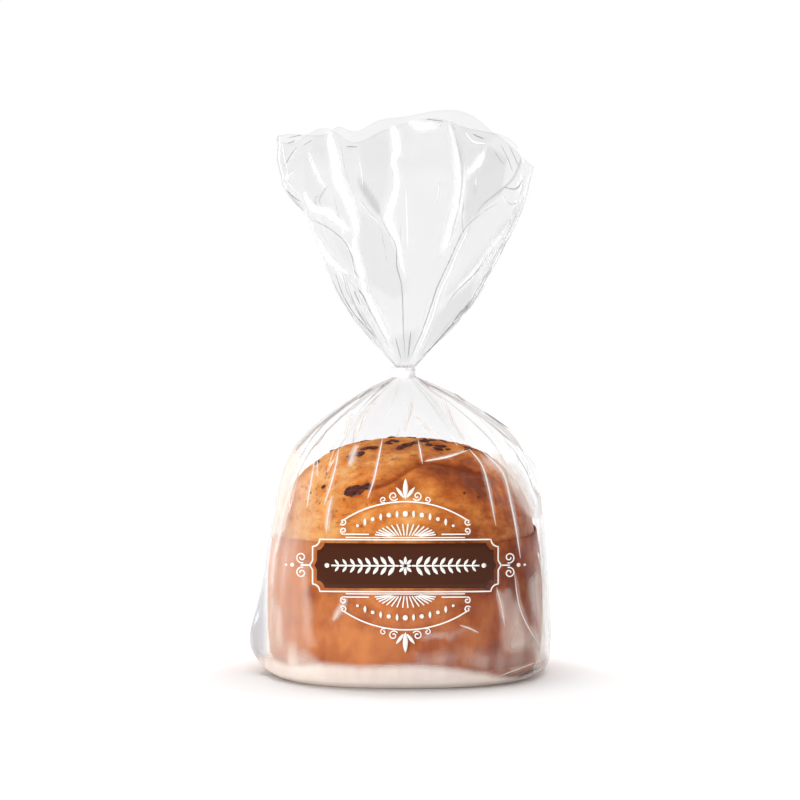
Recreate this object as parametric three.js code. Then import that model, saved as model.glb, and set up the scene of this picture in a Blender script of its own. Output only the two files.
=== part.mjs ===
// A domed panettone in a clear film bag. The bag stands on its flat base, hugs the loaf, slopes in over the
// dome in gathered pleats to a tied neck, and opens above the tie into a ruffled, open mouth.
// Millimetres, +Z up, origin at the middle of the base. +X is the bag's right side and -Y is its front.
import * as THREE from "three";

// ---- Driving dimensions, in millimetres and radians ----

const neckBottom = 167; // the tie's lower edge
const tieHeight = 5.6;
const neckRadius = 4.8; // the gathered film inside the tie
const tieClearance = 0.3;
const tieWall = 1.1;
const tieEdge = 0.3; // the rounding of the tie's edges
const tabReach = 3.2; // how far the tie's two stuck ends stand out
const tabWidth = 1.4;
const tabAngle = Math.PI * 1.08; // the tab points to the left, a little to the front

const bagDepthShare = 0.965; // the bag's depth over its width
const footSquareness = 0.45; // how far the foot's section leans from an ellipse to a rounded square
// Half the bag's width, and the height where it is measured, from the foot to the neck.
const sideProfile = new THREE.SplineCurve([
  new THREE.Vector2(75, 0),
  new THREE.Vector2(81.5, 6),
  new THREE.Vector2(82.5, 22),
  new THREE.Vector2(80.5, 53),
  new THREE.Vector2(76.5, 88),
  new THREE.Vector2(70, 115),
  new THREE.Vector2(57, 134),
  new THREE.Vector2(33, 152),
  new THREE.Vector2(14, 162.5),
  new THREE.Vector2(neckRadius, neckBottom),
]);
const shoulderShift = 2.2; // the shoulder leans to the right of the base by this much

const pleatCount = 15; // gathers round the neck
const pleatDepth = 3; // their deepest, on the shoulder
const pleatStart = 84; // the height where the film begins to gather
const pleatFull = 138;
const pleatShareOfRadius = 0.15; // near the neck the pleats shrink with the radius

// Loose folds of film on the sealed part: where each stands out, how far, and how far it runs.
const looseFolds = [
  { angle: 3.2, height: 17, depth: 5.6, spread: 0.14, up: 22, down: 10 },
  { angle: 6.1, height: 128, depth: 3.2, spread: 0.1, up: 5, down: 9 },
  { angle: 5.62, height: 30, depth: 2.2, spread: 0.12, up: 26, down: 16 },
  { angle: 0.62, height: 36, depth: 2.6, spread: 0.14, up: 30, down: 18 },
  { angle: 2.5, height: 44, depth: 2.6, spread: 0.15, up: 34, down: 22 },
];

// Half the mouth's width, and the height above the tie where it is measured, up to the rim's middle.
const mouthProfile = new THREE.SplineCurve([
  new THREE.Vector2(neckRadius, 0),
  new THREE.Vector2(14, 9),
  new THREE.Vector2(25, 21),
  new THREE.Vector2(36, 37),
  new THREE.Vector2(47, 60),
  new THREE.Vector2(57, 85),
  new THREE.Vector2(64, 110),
  new THREE.Vector2(67, 136),
]);
const mouthDepthShare = 0.52; // the mouth's depth over its width
const mouthLean = 0.05; // how far the mouth leans to the right as it rises
const ruffleCount = 7;
const ruffleDepth = 8;
const ruffleRidge = 4.82; // the angle of the broad ridge at the middle of the front
const ruffleRim = 1.5; // how far the rim climbs and falls with the ruffles
const lobe = { angle: 3.4, depth: 14, spread: 0.5, start: 78, full: 106 }; // a bulge at the left end
// Where the rim dips below its middle height.
const rimDips = [
  { angle: 0, depth: 25, spread: 0.62 },
  { angle: Math.PI, depth: 8, spread: 0.95 },
  { angle: 4.2, depth: 7, spread: 0.14 },
  { angle: 2.08, depth: 7, spread: 0.14 },
];
const filmWall = 1.5; // the mouth's wall
const pitShare = 0.17; // how near the tie the mouth's inside reaches, as a share of its profile

const columns = 90;
const bodyRows = 24;
const mouthRows = 15;
const insideRows = 11;

const fullTurn = 2 * Math.PI;

// ---- The film's shape ----

const smoothstep = (low, high, x) => THREE.MathUtils.smoothstep(x, low, high);

// The shortest way round from one angle to another.
function angleBetween(a, b) {
  return THREE.MathUtils.euclideanModulo(a - b + Math.PI, fullTurn) - Math.PI;
}

// A rounded hump, 1 at the middle and near 0 beyond its width.
const hump = (x, width) => Math.exp(-((x / width) ** 2));

// The gathers round the neck, from -1 in a valley to about 1 on a ridge, unevenly spaced.
function pleatWave(angle) {
  const phase = pleatCount * angle + 1.3 * Math.sin(2 * angle) + 0.8 * Math.sin(3 * angle + 1);
  const strength = 0.75 + 0.25 * Math.sin(5 * angle + 2);
  return strength * (Math.cos(phase) + 0.25 * Math.cos(2 * phase));
}

function looseFold(angle, height) {
  return looseFolds.reduce((sum, fold) => {
    const reach = height > fold.height ? fold.up : fold.down;
    return (
      sum + fold.depth * hump(angleBetween(angle, fold.angle), fold.spread) * hump(height - fold.height, reach)
    );
  }, 0);
}

// A point of the sealed part. share runs from 0 at the foot to 1 at the neck.
function bodyPoint(angle, share) {
  const { x: halfWidth, y: height } = sideProfile.getPoint(share);
  const squareness = footSquareness * (1 - smoothstep(60, 140, height));
  const power = 2 / (2 + squareness);
  const rounded = (value) => Math.sign(value) * Math.abs(value) ** power;
  const depth = Math.min(pleatDepth * smoothstep(pleatStart, pleatFull, height), pleatShareOfRadius * halfWidth);
  const lift = smoothstep(0, 6, height); // the folds die out on the base, which stays flat
  const grown = 1 + (depth * pleatWave(angle) + lift * looseFold(angle, height)) / halfWidth;
  const roundness = smoothstep(110, neckBottom, height);
  const depthShare = THREE.MathUtils.lerp(bagDepthShare, 1, roundness);
  const shift = shoulderShift * smoothstep(40, 100, height) * (1 - smoothstep(130, neckBottom, height));
  return new THREE.Vector3(
    shift + halfWidth * grown * rounded(Math.cos(angle)),
    halfWidth * depthShare * grown * rounded(Math.sin(angle)),
    height,
  );
}

// The mouth's ruffles, from -1 in a valley to 1 on a ridge.
function ruffleWave(angle) {
  const turn = angle - ruffleRidge;
  return Math.cos(ruffleCount * turn + 0.5 * Math.sin(2 * turn) + 0.4 * Math.sin(3 * turn));
}

// The rim's height above the tie.
function rimHeight(angle) {
  const dips = rimDips.reduce((sum, dip) => sum + dip.depth * hump(angleBetween(angle, dip.angle), dip.spread), 0);
  return mouthProfile.getPoint(1).y - dips + ruffleRim * ruffleWave(angle);
}

// A point of the mouth's outer face. share runs from 0 at the tie to 1 at the rim.
function mouthPoint(angle, share) {
  const { x: profileWidth, y: profileHeight } = mouthProfile.getPoint(share);
  const opened = (profileWidth - neckRadius) / (mouthProfile.getPoint(1).x - neckRadius);
  const height = profileHeight * THREE.MathUtils.lerp(1, rimHeight(angle) / mouthProfile.getPoint(1).y, share);
  const gather = pleatShareOfRadius * neckRadius * pleatWave(angle) * (1 - smoothstep(0, 0.3, share));
  const halfWidth = profileWidth + gather;
  const halfDepth = neckRadius + gather + (profileWidth - neckRadius) * mouthDepthShare;
  const cosine = Math.cos(angle);
  const sine = Math.sin(angle);
  // the outward direction of the ellipse, and how wide a ruffle is there, from 1 on the front to less at the ends
  const outward = new THREE.Vector2(cosine / halfWidth, sine / halfDepth).normalize();
  const ruffleWidth = Math.hypot(halfWidth * sine, halfDepth * cosine) / halfWidth;
  const bulge =
    lobe.depth * hump(angleBetween(angle, lobe.angle), lobe.spread) * smoothstep(lobe.start, lobe.full, height);
  const push = ruffleDepth * ruffleWidth * opened * ruffleWave(angle) + bulge;
  return new THREE.Vector3(
    halfWidth * cosine + push * outward.x + mouthLean * height,
    halfDepth * sine + push * outward.y,
    neckBottom + tieHeight + height,
  );
}

// The same point moved inwards by the thickness of the mouth's wall.
function insidePoint(angle, share) {
  const step = 0.01;
  const here = mouthPoint(angle, share);
  const along = mouthPoint(angle, share).sub(mouthPoint(angle, share - step));
  const around = mouthPoint(angle + step, share).sub(mouthPoint(angle - step, share));
  const inward = along.cross(around).normalize();
  inward.z = 0; // the rim stays level across its wall
  return here.addScaledVector(inward, filmWall);
}

// ---- The sub-parts ----

// One closed surface through rings of points, each ring as many columns long, closed by a point at both ends.
function skinThrough(startPole, rings, endPole) {
  const points = [startPole, ...rings.flat(), endPole];
  const last = points.length - 1;
  const at = (ring, column) => 1 + ring * columns + (column % columns);
  const faces = [];
  for (let column = 0; column < columns; column++) {
    faces.push(0, at(0, column + 1), at(0, column));
    for (let ring = 0; ring + 1 < rings.length; ring++) {
      const [a, b] = [at(ring, column), at(ring, column + 1)];
      const [c, d] = [at(ring + 1, column), at(ring + 1, column + 1)];
      faces.push(a, b, d, a, d, c);
    }
    faces.push(last, at(rings.length - 1, column), at(rings.length - 1, column + 1));
  }
  const geometry = new THREE.BufferGeometry().setFromPoints(points);
  geometry.setIndex(faces);
  geometry.computeVertexNormals();
  return geometry;
}

function ringOf(pointAt, share) {
  return Array.from({ length: columns }, (_, column) => pointAt((column / columns) * fullTurn, share));
}

// The whole bag: the sealed part with the loaf in it, the gathered neck, and the open mouth.
function makeBag() {
  const rings = [];
  for (let row = 0; row <= bodyRows; row++) {
    rings.push(ringOf(bodyPoint, row / bodyRows));
  }
  for (let row = 0; row <= mouthRows; row++) {
    rings.push(ringOf(mouthPoint, row / mouthRows));
  }
  for (let row = 0; row <= insideRows; row++) {
    rings.push(ringOf(insidePoint, THREE.MathUtils.lerp(1, pitShare, row / insideRows)));
  }
  const base = new THREE.Vector3(0, 0, 0);
  const pit = new THREE.Vector3(0, 0, mouthPoint(0, pitShare).z - 2);
  const film = new THREE.MeshStandardMaterial({
    color: 0xf1ede8,
    roughness: 0.15,
    metalness: 0,
    transparent: true,
    opacity: 0.4,
  });
  const bag = new THREE.Mesh(skinThrough(base, rings, pit), film);
  bag.name = "bag";
  return bag;
}

// The tie: a band of clear tape round the neck, its two ends stuck together in a short tab.
function makeTie() {
  const inner = neckRadius * (1 + pleatShareOfRadius) + tieClearance;
  const outer = inner + tieWall;
  const halfTab = Math.asin(tabWidth / 2 / outer);
  const outline = new THREE.Shape();
  outline.absarc(0, 0, outer, halfTab, fullTurn - halfTab);
  outline.lineTo(outer + tabReach, -tabWidth / 2);
  outline.lineTo(outer + tabReach, tabWidth / 2);
  outline.closePath();
  outline.holes.push(new THREE.Path().absarc(0, 0, inner, 0, fullTurn));
  const geometry = new THREE.ExtrudeGeometry(outline, {
    depth: tieHeight - 2 * (tieEdge + tieClearance),
    bevelThickness: tieEdge,
    bevelSize: tieEdge,
    bevelOffset: -tieEdge,
    bevelSegments: 1,
    curveSegments: 24,
  });
  const tape = new THREE.MeshStandardMaterial({ color: 0xf7f7f8, roughness: 0.35, metalness: 0 });
  const tie = new THREE.Mesh(geometry, tape);
  tie.name = "tie";
  tie.position.z = neckBottom + tieEdge + tieClearance;
  tie.rotation.z = tabAngle;
  return tie;
}

const panettoneBag = new THREE.Group();
panettoneBag.add(makeBag(), makeTie());

export default panettoneBag;
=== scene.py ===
"""A domed chocolate panettone in a tied clear film bag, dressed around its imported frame.

Metres, +Z up, -Y the printed front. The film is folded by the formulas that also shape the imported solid.
"""

import math

import bpy
import numpy as np
from bpy.props import FloatProperty, FloatVectorProperty, IntProperty, PointerProperty
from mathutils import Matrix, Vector, noise
from mathutils.bvhtree import BVHTree


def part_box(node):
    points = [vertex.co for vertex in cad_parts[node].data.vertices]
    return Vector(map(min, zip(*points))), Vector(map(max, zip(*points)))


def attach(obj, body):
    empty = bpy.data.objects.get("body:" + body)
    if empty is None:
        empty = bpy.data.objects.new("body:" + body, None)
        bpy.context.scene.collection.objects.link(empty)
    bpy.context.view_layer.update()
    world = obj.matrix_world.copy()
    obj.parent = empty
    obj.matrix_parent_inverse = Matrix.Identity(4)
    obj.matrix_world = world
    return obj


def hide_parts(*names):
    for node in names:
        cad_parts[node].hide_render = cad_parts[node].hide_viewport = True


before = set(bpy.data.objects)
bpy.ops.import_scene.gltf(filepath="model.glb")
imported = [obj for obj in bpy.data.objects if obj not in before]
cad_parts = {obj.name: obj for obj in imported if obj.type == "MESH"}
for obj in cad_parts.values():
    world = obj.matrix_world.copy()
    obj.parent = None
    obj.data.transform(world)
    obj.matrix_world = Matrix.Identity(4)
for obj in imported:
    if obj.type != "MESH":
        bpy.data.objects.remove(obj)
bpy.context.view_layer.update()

bl_info = {
    "name": "Bagged Panettone",
    "version": (1, 0, 0),
    "blender": (4, 5, 0),
    "location": "View3D > Sidebar > Panettone",
    "description": "Models a chocolate panettone in a tied clear bag, piece by piece",
    "category": "Add Mesh",
}

# ---- Sizes, in metres and radians ----

MM = 0.001
TIE_LOW, TIE_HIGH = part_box("tie")
BODY = "root"
NECK_RADIUS = 4.8 * MM
NECK_BOTTOM = TIE_LOW.z - 0.3 * MM
NECK_TOP = TIE_HIGH.z + 0.3 * MM

# Half the bag's width, and the height where it is measured, from the foot to the neck.
SIDE_PROFILE = MM * np.array([
    (75, 0), (81.5, 6), (82.5, 22), (80.5, 53), (76.5, 88),
    (70, 115), (57, 134), (33, 152), (14, 162.5), (4.8, 167),
])
# Half the mouth's width, and the height above the neck where it is measured, up to the rim's middle.
MOUTH_PROFILE = MM * np.array([
    (4.8, 0), (14, 9), (25, 21), (36, 37), (47, 60), (57, 85), (64, 110), (67, 136),
])
BAG_DEPTH_SHARE = 0.965
FOOT_SQUARENESS = 0.45
SHOULDER_SHIFT = 2.2 * MM
PLEAT_COUNT = 15
PLEAT_START, PLEAT_FULL = 84 * MM, 138 * MM
PLEAT_SHARE_OF_RADIUS = 0.15
MOUTH_DEPTH_SHARE = 0.52
MOUTH_LEAN = 0.05
RUFFLE_COUNT = 7
RUFFLE_DEPTH = 8 * MM
RUFFLE_RIDGE = 4.82
RUFFLE_RIM = 1.5 * MM
# Bulges of the film: angle, height, depth, spread in angle, reach above and below.
LOOSE_FOLDS = (
    (3.2, 17, 5.6, 0.14, 22, 10),
    (6.1, 128, 3.2, 0.1, 5, 9),
    (5.62, 30, 2.2, 0.12, 26, 16),
    (0.62, 36, 2.6, 0.14, 30, 18),
    (2.5, 44, 2.6, 0.15, 34, 22),
)
LOBE_ANGLE, LOBE_DEPTH, LOBE_SPREAD = 3.4, 14 * MM, 0.5
LOBE_START, LOBE_FULL = 78 * MM, 106 * MM
# Where the mouth's rim dips below its middle height: angle, depth, spread in angle.
RIM_DIPS = ((0, 25, 0.62), (math.pi, 8, 0.95), (4.2, 7, 0.14), (2.08, 7, 0.14))
# Where the film's edge lies off the solid's rim: sunk beside the right tip, and higher in the middle and on
# the left lobe, where the depth is below zero.
EDGE_DIPS = ((1.5, -5.5, 0.5), (4.8, -6, 0.45), (3.87, -4, 0.2), (0.45, 9, 0.22), (5.83, 7, 0.22))
# How much closer together the film's columns stand in front than behind.
FRONT_CROWDING = 0.35
# Which of the film's normals face the front: how far each turns to it where that starts and where it is full.
FILM_FRONT = (-0.05, 0.25)
# How far the film's shell lies inside the solid's skin, so that its folds stay near it.
FILM_INSET = 0.3 * MM
# Places round the bag are given in millimetres along circles of these radii, round its body and its mouth.
BODY_ARC, MOUTH_ARC = 80, 50
# Where the mouth was held and crushed: angle, its spread, and the heights above the neck.
CRUSHED = ((3.3, 0.3, (95, 135)), (6.0, 0.28, (80, 125)))
# A line on the film stands this far in front of it, and breaks where it would step further than this.
LINE_PROUD, LINE_STEP = 0.25 * MM, 3 * MM
# Half the loaf's width and its height, from its foot to the top of its dome.
LOAF_PROFILE = MM * np.array([
    (30, 1.2), (71, 1.2), (74.5, 4), (76.4, 28), (75.6, 62), (70.3, 92), (63, 107), (54, 117), (45, 122.5),
    (34, 127), (15, 130.6), (2, 131),
])

# The front is laid out as the camera sees it: millimetres across and up, along these directions.
CAMERA_ELEVATION = math.radians(6.5)
UP_AXIS = Vector((0, math.sin(CAMERA_ELEVATION), math.cos(CAMERA_ELEVATION)))
INWARD = Vector((0, math.cos(CAMERA_ELEVATION), -math.sin(CAMERA_ELEVATION)))

# Each fold: how far it stands out, its width, how white its painted highlight is, the width of its crisp
# line, and its path. A line's width is below zero where the fold shows grey, with more plies and partly
# painted shade.
BODY_FOLDS = (
    (0.8, 1.6, 0.4, 0.8, ((-50.5, 119), (-51.5, 111), (-53.7, 98.2), (-54.7, 92))),
    (0.5, 1.4, 0.3, 0.6, ((-49, 120), (-48.8, 109))),
    (1.0, 1.7, 0.4, 0.9, ((-36.8, 125.5), (-38.4, 115.7), (-41.5, 104), (-44.9, 93.5))),
    (0.8, 2.4, 0.6, 0.5, ((-40.6, 99.2), (-42.5, 89.5), (-43.7, 77.8))),
    (0.5, 1.8, 0.5, 0, ((-26.5, 128), (-29, 121.5), (-31, 114.5))),
    (1.0, 1.5, 0.5, 0.9, ((-12.4, 131), (-14.8, 118.6), (-17.3, 107.5), (-20.7, 97.5))),
    (0.7, 1.5, 0.4, 0.7, ((7.3, 130), (9.8, 116.5))),
    (0.8, 1.4, 0.5, 1.1, ((10.7, 118.1), (23.4, 120.5), (35.2, 124.2))),
    (1.2, 2.0, 0.5, 0.9, ((35.5, 124.9), (42.8, 115.7), (46.7, 102.1), (49.6, 86.6), (50.5, 82))),
    (1.2, 2.0, 0.6, 1.1, ((43, 123.5), (54.5, 111.5), (59.3, 93), (61.8, 80), (64.2, 64))),
    (1.0, 3.0, 0.6, 0, ((56.5, 110), (64, 99), (72.9, 84))),
    (0.8, 2.4, 0.5, 0.5, ((50.7, 48), (53.4, 38), (55.4, 26.5))),
    (1.2, 2.2, 0.3, 0.6, ((60.7, 57), (63.1, 39.7), (67.5, 27.6), (76.2, 13))),
    (0.9, 2.2, 0.2, 0.6, ((73.8, 67.1), (76.7, 51.9), (77.8, 14.7))),
    (0.7, 1.6, 0.3, 0.7, ((30.5, 27.2), (36, 25.4), (41, 22.8))),
    (0.6, 2.0, 0.4, 0, ((-31.6, 42.8), (-36, 36), (-40.6, 28.7))),
    (0.8, 1.6, 0.2, 0.6, ((52, -1.6), (64, 2.6), (75.5, 6.2))),
    (-1.2, 1.8, 0, -0.9, ((-8, 164), (-20.4, 157.6), (-32.6, 145.4))),
    (-1.0, 1.6, 0, -0.8, ((-34, 152), (-41.2, 146.6), (-52.2, 136.9))),
    (-1.4, 1.8, 0, -1.4, ((-46.1, 133.6), (-50.6, 126.8))),
    (-1.1, 1.8, 0, -0.8, ((8, 164), (12.5, 160.5), (23.6, 151.5))),
    (-1.0, 1.8, 0, -0.8, ((27.2, 156.4), (34, 150.9))),
    (-1.0, 1.8, 0, -0.8, ((44.4, 145.4), (59, 135.6))),
    (-1.0, 1.8, 0, -0.8, ((62, 122), (68.5, 111), (74, 96))),
    (-0.6, 1.4, 0, -0.7, ((60.9, -3.4), (68, -0.6), (75.3, 2.6))),
    (0.25, 2.0, 0.6, 0.8, ((4, 153.9), (2.8, 145.4), (-0.8, 133.2))),
    (0.25, 2.0, 0.6, 1.0, ((3.9, 144.2), (13.8, 135.6), (21.1, 132))),
    (0.25, 2.0, 0.6, 1.0, ((21.1, 153.9), (27.2, 138.1), (34.6, 127.1))),
    (0.25, 2.4, 0.6, 1.0, ((-16, 152), (-22.9, 144.2), (-27.7, 129.5))),
    (0.25, 2.4, 0.6, 0.9, ((-30.2, 145.4), (-33.9, 129.5))),
)
MOUTH_FOLDS = (
    (2.6, 3.0, 0.8, 0, ((-42.6, 304.1), (-40.6, 294.2), (-36.9, 277.5), (-31.7, 266), (-27, 252),
                        (-26.5, 238))),
    (1.6, 1.8, 0.6, 0.8, ((-53.6, 291.1), (-48.4, 278.6), (-43.2, 269.2))),
    (1.6, 2.2, 0.7, 0, ((-56.7, 270.2), (-51.5, 259.8), (-43.2, 257.7), (-35.9, 251.5), (-28.6, 245.2))),
    (2.4, 2.4, 0.8, 0, ((-8.8, 309.8), (-5.1, 300.5), (-4.1, 291.1), (-6.2, 279.6))),
    (1.8, 2.0, 0.8, 0, ((-5.1, 291.1), (-3.5, 274.4), (-6.7, 262.9), (-9.8, 254.6), (-6.7, 246.2),
                        (-4.1, 237.9), (-2.5, 227.5), (0.6, 217.1))),
    (2.8, 3.2, 0.9, 0, ((22.5, 311.9), (25.6, 300.5), (28.8, 286.9), (30.3, 274.4), (28.8, 259.8),
                        (25.6, 250.4), (22.5, 237.9), (18.9, 230.6))),
    (1.4, 2.0, 0.7, 0, ((44.9, 292.1), (41.3, 284.8), (34, 277.5))),
    (1.2, 2.2, 0.85, 0, ((-0.4, 309.8), (9, 304.1), (22.5, 305.1))),
    (0.8, 1.2, 0.4, 0.7, ((18.3, 280.6), (18.9, 272.3), (17.8, 262.9))),
    (1.2, 2.2, 0.75, 0, ((-56.2, 261), (-54.6, 252.5), (-47.3, 236.8), (-39.4, 228), (-29.6, 219.8))),
    (2.0, 2.4, 0.7, 0, ((-24.4, 217.1), (-19.2, 208.7), (-12.9, 196.2), (-6.7, 182.7))),
    (1.2, 1.9, 0.75, 0, ((-28.5, 246), (-27.8, 238.4), (-22.9, 217.8), (-19, 210))),
    (1.2, 1.2, 0.2, 0.9, ((-25.6, 263.5), (-19.8, 256.2), (-13.9, 250.4))),
    (1.6, 1.6, 0.3, 0.9, ((35, 246.2), (29.9, 235.8), (24.8, 223.3), (19.4, 211.8), (15.3, 198.3),
                          (10.1, 185.8), (6, 176.5))),
    (1.2, 2.0, 0.7, 0, ((63.2, 261.9), (58, 250.4), (50.7, 240), (42.3, 227.5), (32.9, 217.1),
                        (25.6, 210.8))),
    (0.6, 1.2, 0.2, 0.7, ((67.4, 269.2), (59, 250.4), (53.6, 240), (46.4, 227.5), (35, 205))),
    (0.8, 1.2, 0.3, 0.9, ((32.9, 302.5), (38.2, 296.3), (45.5, 295.2))),
    (0.5, 1.2, 0.3, 0.6, ((0.6, 269.2), (1.1, 254.6), (1.7, 237.9))),
    (0.5, 1.0, 0.2, 0.7, ((-25.6, 287.9), (-24, 277.5), (-23.5, 264.9))),
    (0.8, 1.2, 0.4, 0.8, ((53.8, 266.1), (58, 261.9), (63.2, 262.9))),
    (0.8, 1.6, 0.5, 0.9, ((-66.1, 273.4), (-65.1, 277.5), (-61.9, 279.6))),
    (0.6, 1.2, 0.4, 0.7, ((-64, 286.9), (-60.4, 292.6))),
    (-3.0, 2.6, 0, 0, ((-26.5, 300), (-26.5, 290), (-25.4, 276), (-19.2, 264), (-13.5, 253.5))),
    (-2.6, 2.2, 0, -0.8, ((-13.5, 253.5), (-8.8, 245.2), (-4.9, 237.9), (-4.6, 227.5), (-2, 217.1),
                          (-1.3, 206.6), (-0.9, 191), (0.1, 176.5))),
    (-1.6, 1.8, 0, -0.9, ((-57.4, 262.9), (-55.8, 253.5), (-51.2, 243.8), (-44.6, 233.2), (-39.6, 226.6),
                          (-29.6, 218.4), (-23.4, 210.8), (-20.2, 203.5), (-15, 194.1), (-8.8, 181.6))),
    (-0.6, 1.0, 0, -0.8, ((-28.6, 213.9), (-24.9, 205.6))),
    (-0.3, 0.8, 0, -1.0, ((3.4, 191), (1.6, 175.6))),
    (-0.3, 0.8, 0, -0.9, ((-5.4, 187), (-2.2, 175.6))),
    (-0.8, 1.4, 0, -0.8, ((-38.9, 223.4), (-35, 211.8), (-28.9, 201.4), (-20.7, 192), (-12.3, 182.7))),
    (-2.2, 1.8, 0, -0.9, ((51.2, 261.9), (41.3, 255.6), (32.9, 247.3), (28.8, 238.9), (24.6, 229.6),
                          (18.3, 216), (14.2, 203.5), (10, 192), (5.8, 182.7), (3.9, 177))),
    (-0.6, 1.0, 0, -0.6, ((32.9, 262.9), (31.9, 254.6), (32.4, 246.2))),
    (-0.8, 1.2, 0, -0.9, ((35.4, 203.8), (25.2, 193.6), (15.8, 183), (9.5, 177))),
    (-1.0, 1.4, 0, -0.6, ((57.4, 295.2), (60.5, 289), (63.2, 282.7))),
    (-1.0, 1.4, 0, -0.6, ((53.3, 294.6), (57, 287.5), (60, 279.6))),
    (-0.8, 1.4, 0, -0.5, ((49.6, 291.1), (52.5, 287), (54.8, 283.8))),
    (-1.0, 1.4, 0, -1.1, ((54.8, 271.3), (60, 270), (63.2, 271.3), (65.8, 275.5))),
    (-0.8, 1.2, 0, -0.8, ((-67.7, 282.7), (-64.5, 288), (-60.4, 293.2))),
    (-0.8, 1.2, 0, -0.7, ((-65.6, 300), (-58, 301.6), (-51.5, 301.8))),
    (-0.8, 1.2, 0, -0.8, ((-67.2, 296.3), (-61.9, 298.5))),
    (-0.8, 1.2, 0, -0.8, ((-56.7, 294.2), (-51.5, 297.3))),
    (-0.8, 1.2, 0, -0.8, ((-66.8, 270.4), (-62.5, 266.4), (-58.3, 263.4))),
    (-0.8, 1.2, 0, -1.0, ((-32.7, 293.2), (-26.5, 293.2))),
    (-0.6, 1.2, 0, -0.9, ((10, 308.6), (16, 307.6), (21.5, 307))),
    (-1.4, 1.6, 0, -1.3, ((37.6, 300.7), (41, 299), (44, 297.9))),
    (-0.8, 1.2, 0, -0.6, ((-51.5, 253.5), (-42.1, 248.3), (-33.8, 241), (-29.6, 232.7), (-27.5, 223.3),
                          (-20.2, 217.1))),
    (-0.8, 1.2, 0, -0.7, ((23.6, 205.6), (28.8, 212.9), (39.2, 223.3), (43.4, 229.6))),
)
# Where the film lies in more plies and dims what is behind it: how much, the edge's softness, the outline.
MOUTH_PLIES = (
    (0.55, 4.0, ((-6, 187), (7, 191), (4.4, 172), (-4, 172))),
    (1.0, 1.0, ((-24.8, 277.5), (-19.2, 269.2), (-14.6, 261.9), (-12.9, 254.1), (-17.1, 258.8),
                (-22.3, 266.1), (-25.2, 271.3))),
    (0.5, 0.9, ((46.5, 294.2), (56.9, 286.9), (53.8, 267.1), (42.3, 257.7), (33.5, 249.4), (32.9, 262.9),
                (34.5, 274.4), (42.3, 282.7))),
    (0.5, 1.8, ((41.3, 221.2), (36.1, 203.5), (25.6, 194.1), (5.8, 172.2), (12.1, 186.8), (17.3, 199.3),
                 (24.6, 206.6))),
    (0.2, 1.5, ((-24.9, 299.4), (-9.8, 305.7), (-8.8, 290), (-9.8, 271.3), (-14, 254.6), (-23.4, 276.5))),
    (0.26, 1.6, ((-24.9, 258.8), (-15, 251.5), (-4.6, 237.9), (-4.6, 227.5), (-1.5, 211.8), (-6.7, 208.7),
                 (-19.2, 217.1), (-26.5, 232.7), (-26.5, 248.3))),
    (0.22, 1.6, ((27.7, 311), (43.4, 309.8), (52.8, 301.5), (45.5, 295.2), (34, 279.6), (28.8, 290))),
    (0.46, 2.4, ((63, 258.8), (48.6, 235.8), (27.7, 213.9), (22.5, 210.8), (41.3, 232.7), (56.9, 253.5))),
    (0.16, 1.2, ((-55.7, 291.1), (-47.3, 275.4), (-42.1, 259.8), (-51.5, 259.8), (-56.2, 271.3))),
    (0.18, 1.2, ((-40, 246.2), (-29.6, 232.7), (-27.5, 223.3), (-31.7, 227.5), (-37.9, 237.9))),
    (0.2, 1.2, ((-50.5, 303.6), (-45.2, 302.5), (-43.2, 292.1), (-45.2, 286.9), (-51.5, 294.2))),
)
BODY_PLIES = (
    (0.35, 5.0, ((-44, 122), (-14, 156), (-5, 164), (7, 164), (24, 150), (44, 118), (0, 126))),
    (1.5, 2.4, ((-87, 62), (-79.5, 52), (-78.5, 0), (-84, -2), (-90, 30))),
    (0.3, 3.0, ((-62, 118), (-78, 96), (-84, 60), (-79, 60), (-74, 92), (-60, 113))),
    (0.3, 2.4, ((62, 118), (76, 96), (82, 60), (78.5, 60), (72, 92), (58, 116))),
)
# Where the sealed part's film is white over the loaf, partly milky film and partly painted highlights of the
# lights: how much, how soft its edge is, and its outline.
BODY_MILK_AND_HIGHLIGHTS = (
    (0.7, 4.5, ((-78, 122), (-58, 124), (-63, 112), (-66, 100), (-69, 88), (-71, 78), (-79, 80))),
    (0.15, 7.0, ((-76, 108), (-60, 112), (-55, 96), (-56, 60), (-60, 10), (-70, 6), (-76, 8), (-77, 62))),
    (0.2, 3.0, ((-75, 98), (-71, 98), (-73, 8), (-77, 4), (-77.5, 62))),
    (0.42, 3.2, ((44, 123), (52, 121), (61, 114), (70.5, 99.2), (76.1, 87.4), (73.5, 86), (66.5, 97),
                 (58, 107), (50, 114))),
    (0.24, 3.2, ((52.4, 46.2), (58.1, 47.4), (68.2, 24.8), (75.5, 12.4), (73.8, 7.9), (56.9, 16.9),
                 (55.2, 25.9))),
    (0.24, 2.5, ((70, 52), (75, 56), (76, 30), (75.5, 20), (70, 32), (68, 42))),
    (0.12, 8.0, ((44, 12), (62, 18), (78, 20), (76, -2), (46, -2))),
    (0.3, 3.0, ((75, 94), (79, 60), (80, 8), (75, 2), (73.5, 20), (74.5, 56), (73, 88))),
    (0.14, 2.0, ((12, 24.8), (31, 23), (31, 20.5), (12, 22.4))),
    (0.1, 4.0, ((8, 13), (30, 15), (48, 11), (46, 6), (8, 7))),
    (0.22, 3.5, ((-75, 40), (-71, 36), (-66, 17), (-71, 12), (-75, 17))),
    (0.2, 3.5, ((-68, 14), (-62, 16), (-57, 1), (-66, 1))),
    (0.1, 3.0, ((-58, 62), (-54, 60), (-50, 16), (-56, 12))),
    (0.36, 6.0, ((-79, 8), (-60, 8), (-48, 3), (-50, -6), (-79, -4))),
)
# Where the film lies smooth under the print.
SMOOTH_FRONT = ((-64, 22), (68, 22), (66, 110), (40, 128), (-40, 130), (-62, 112))
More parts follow.
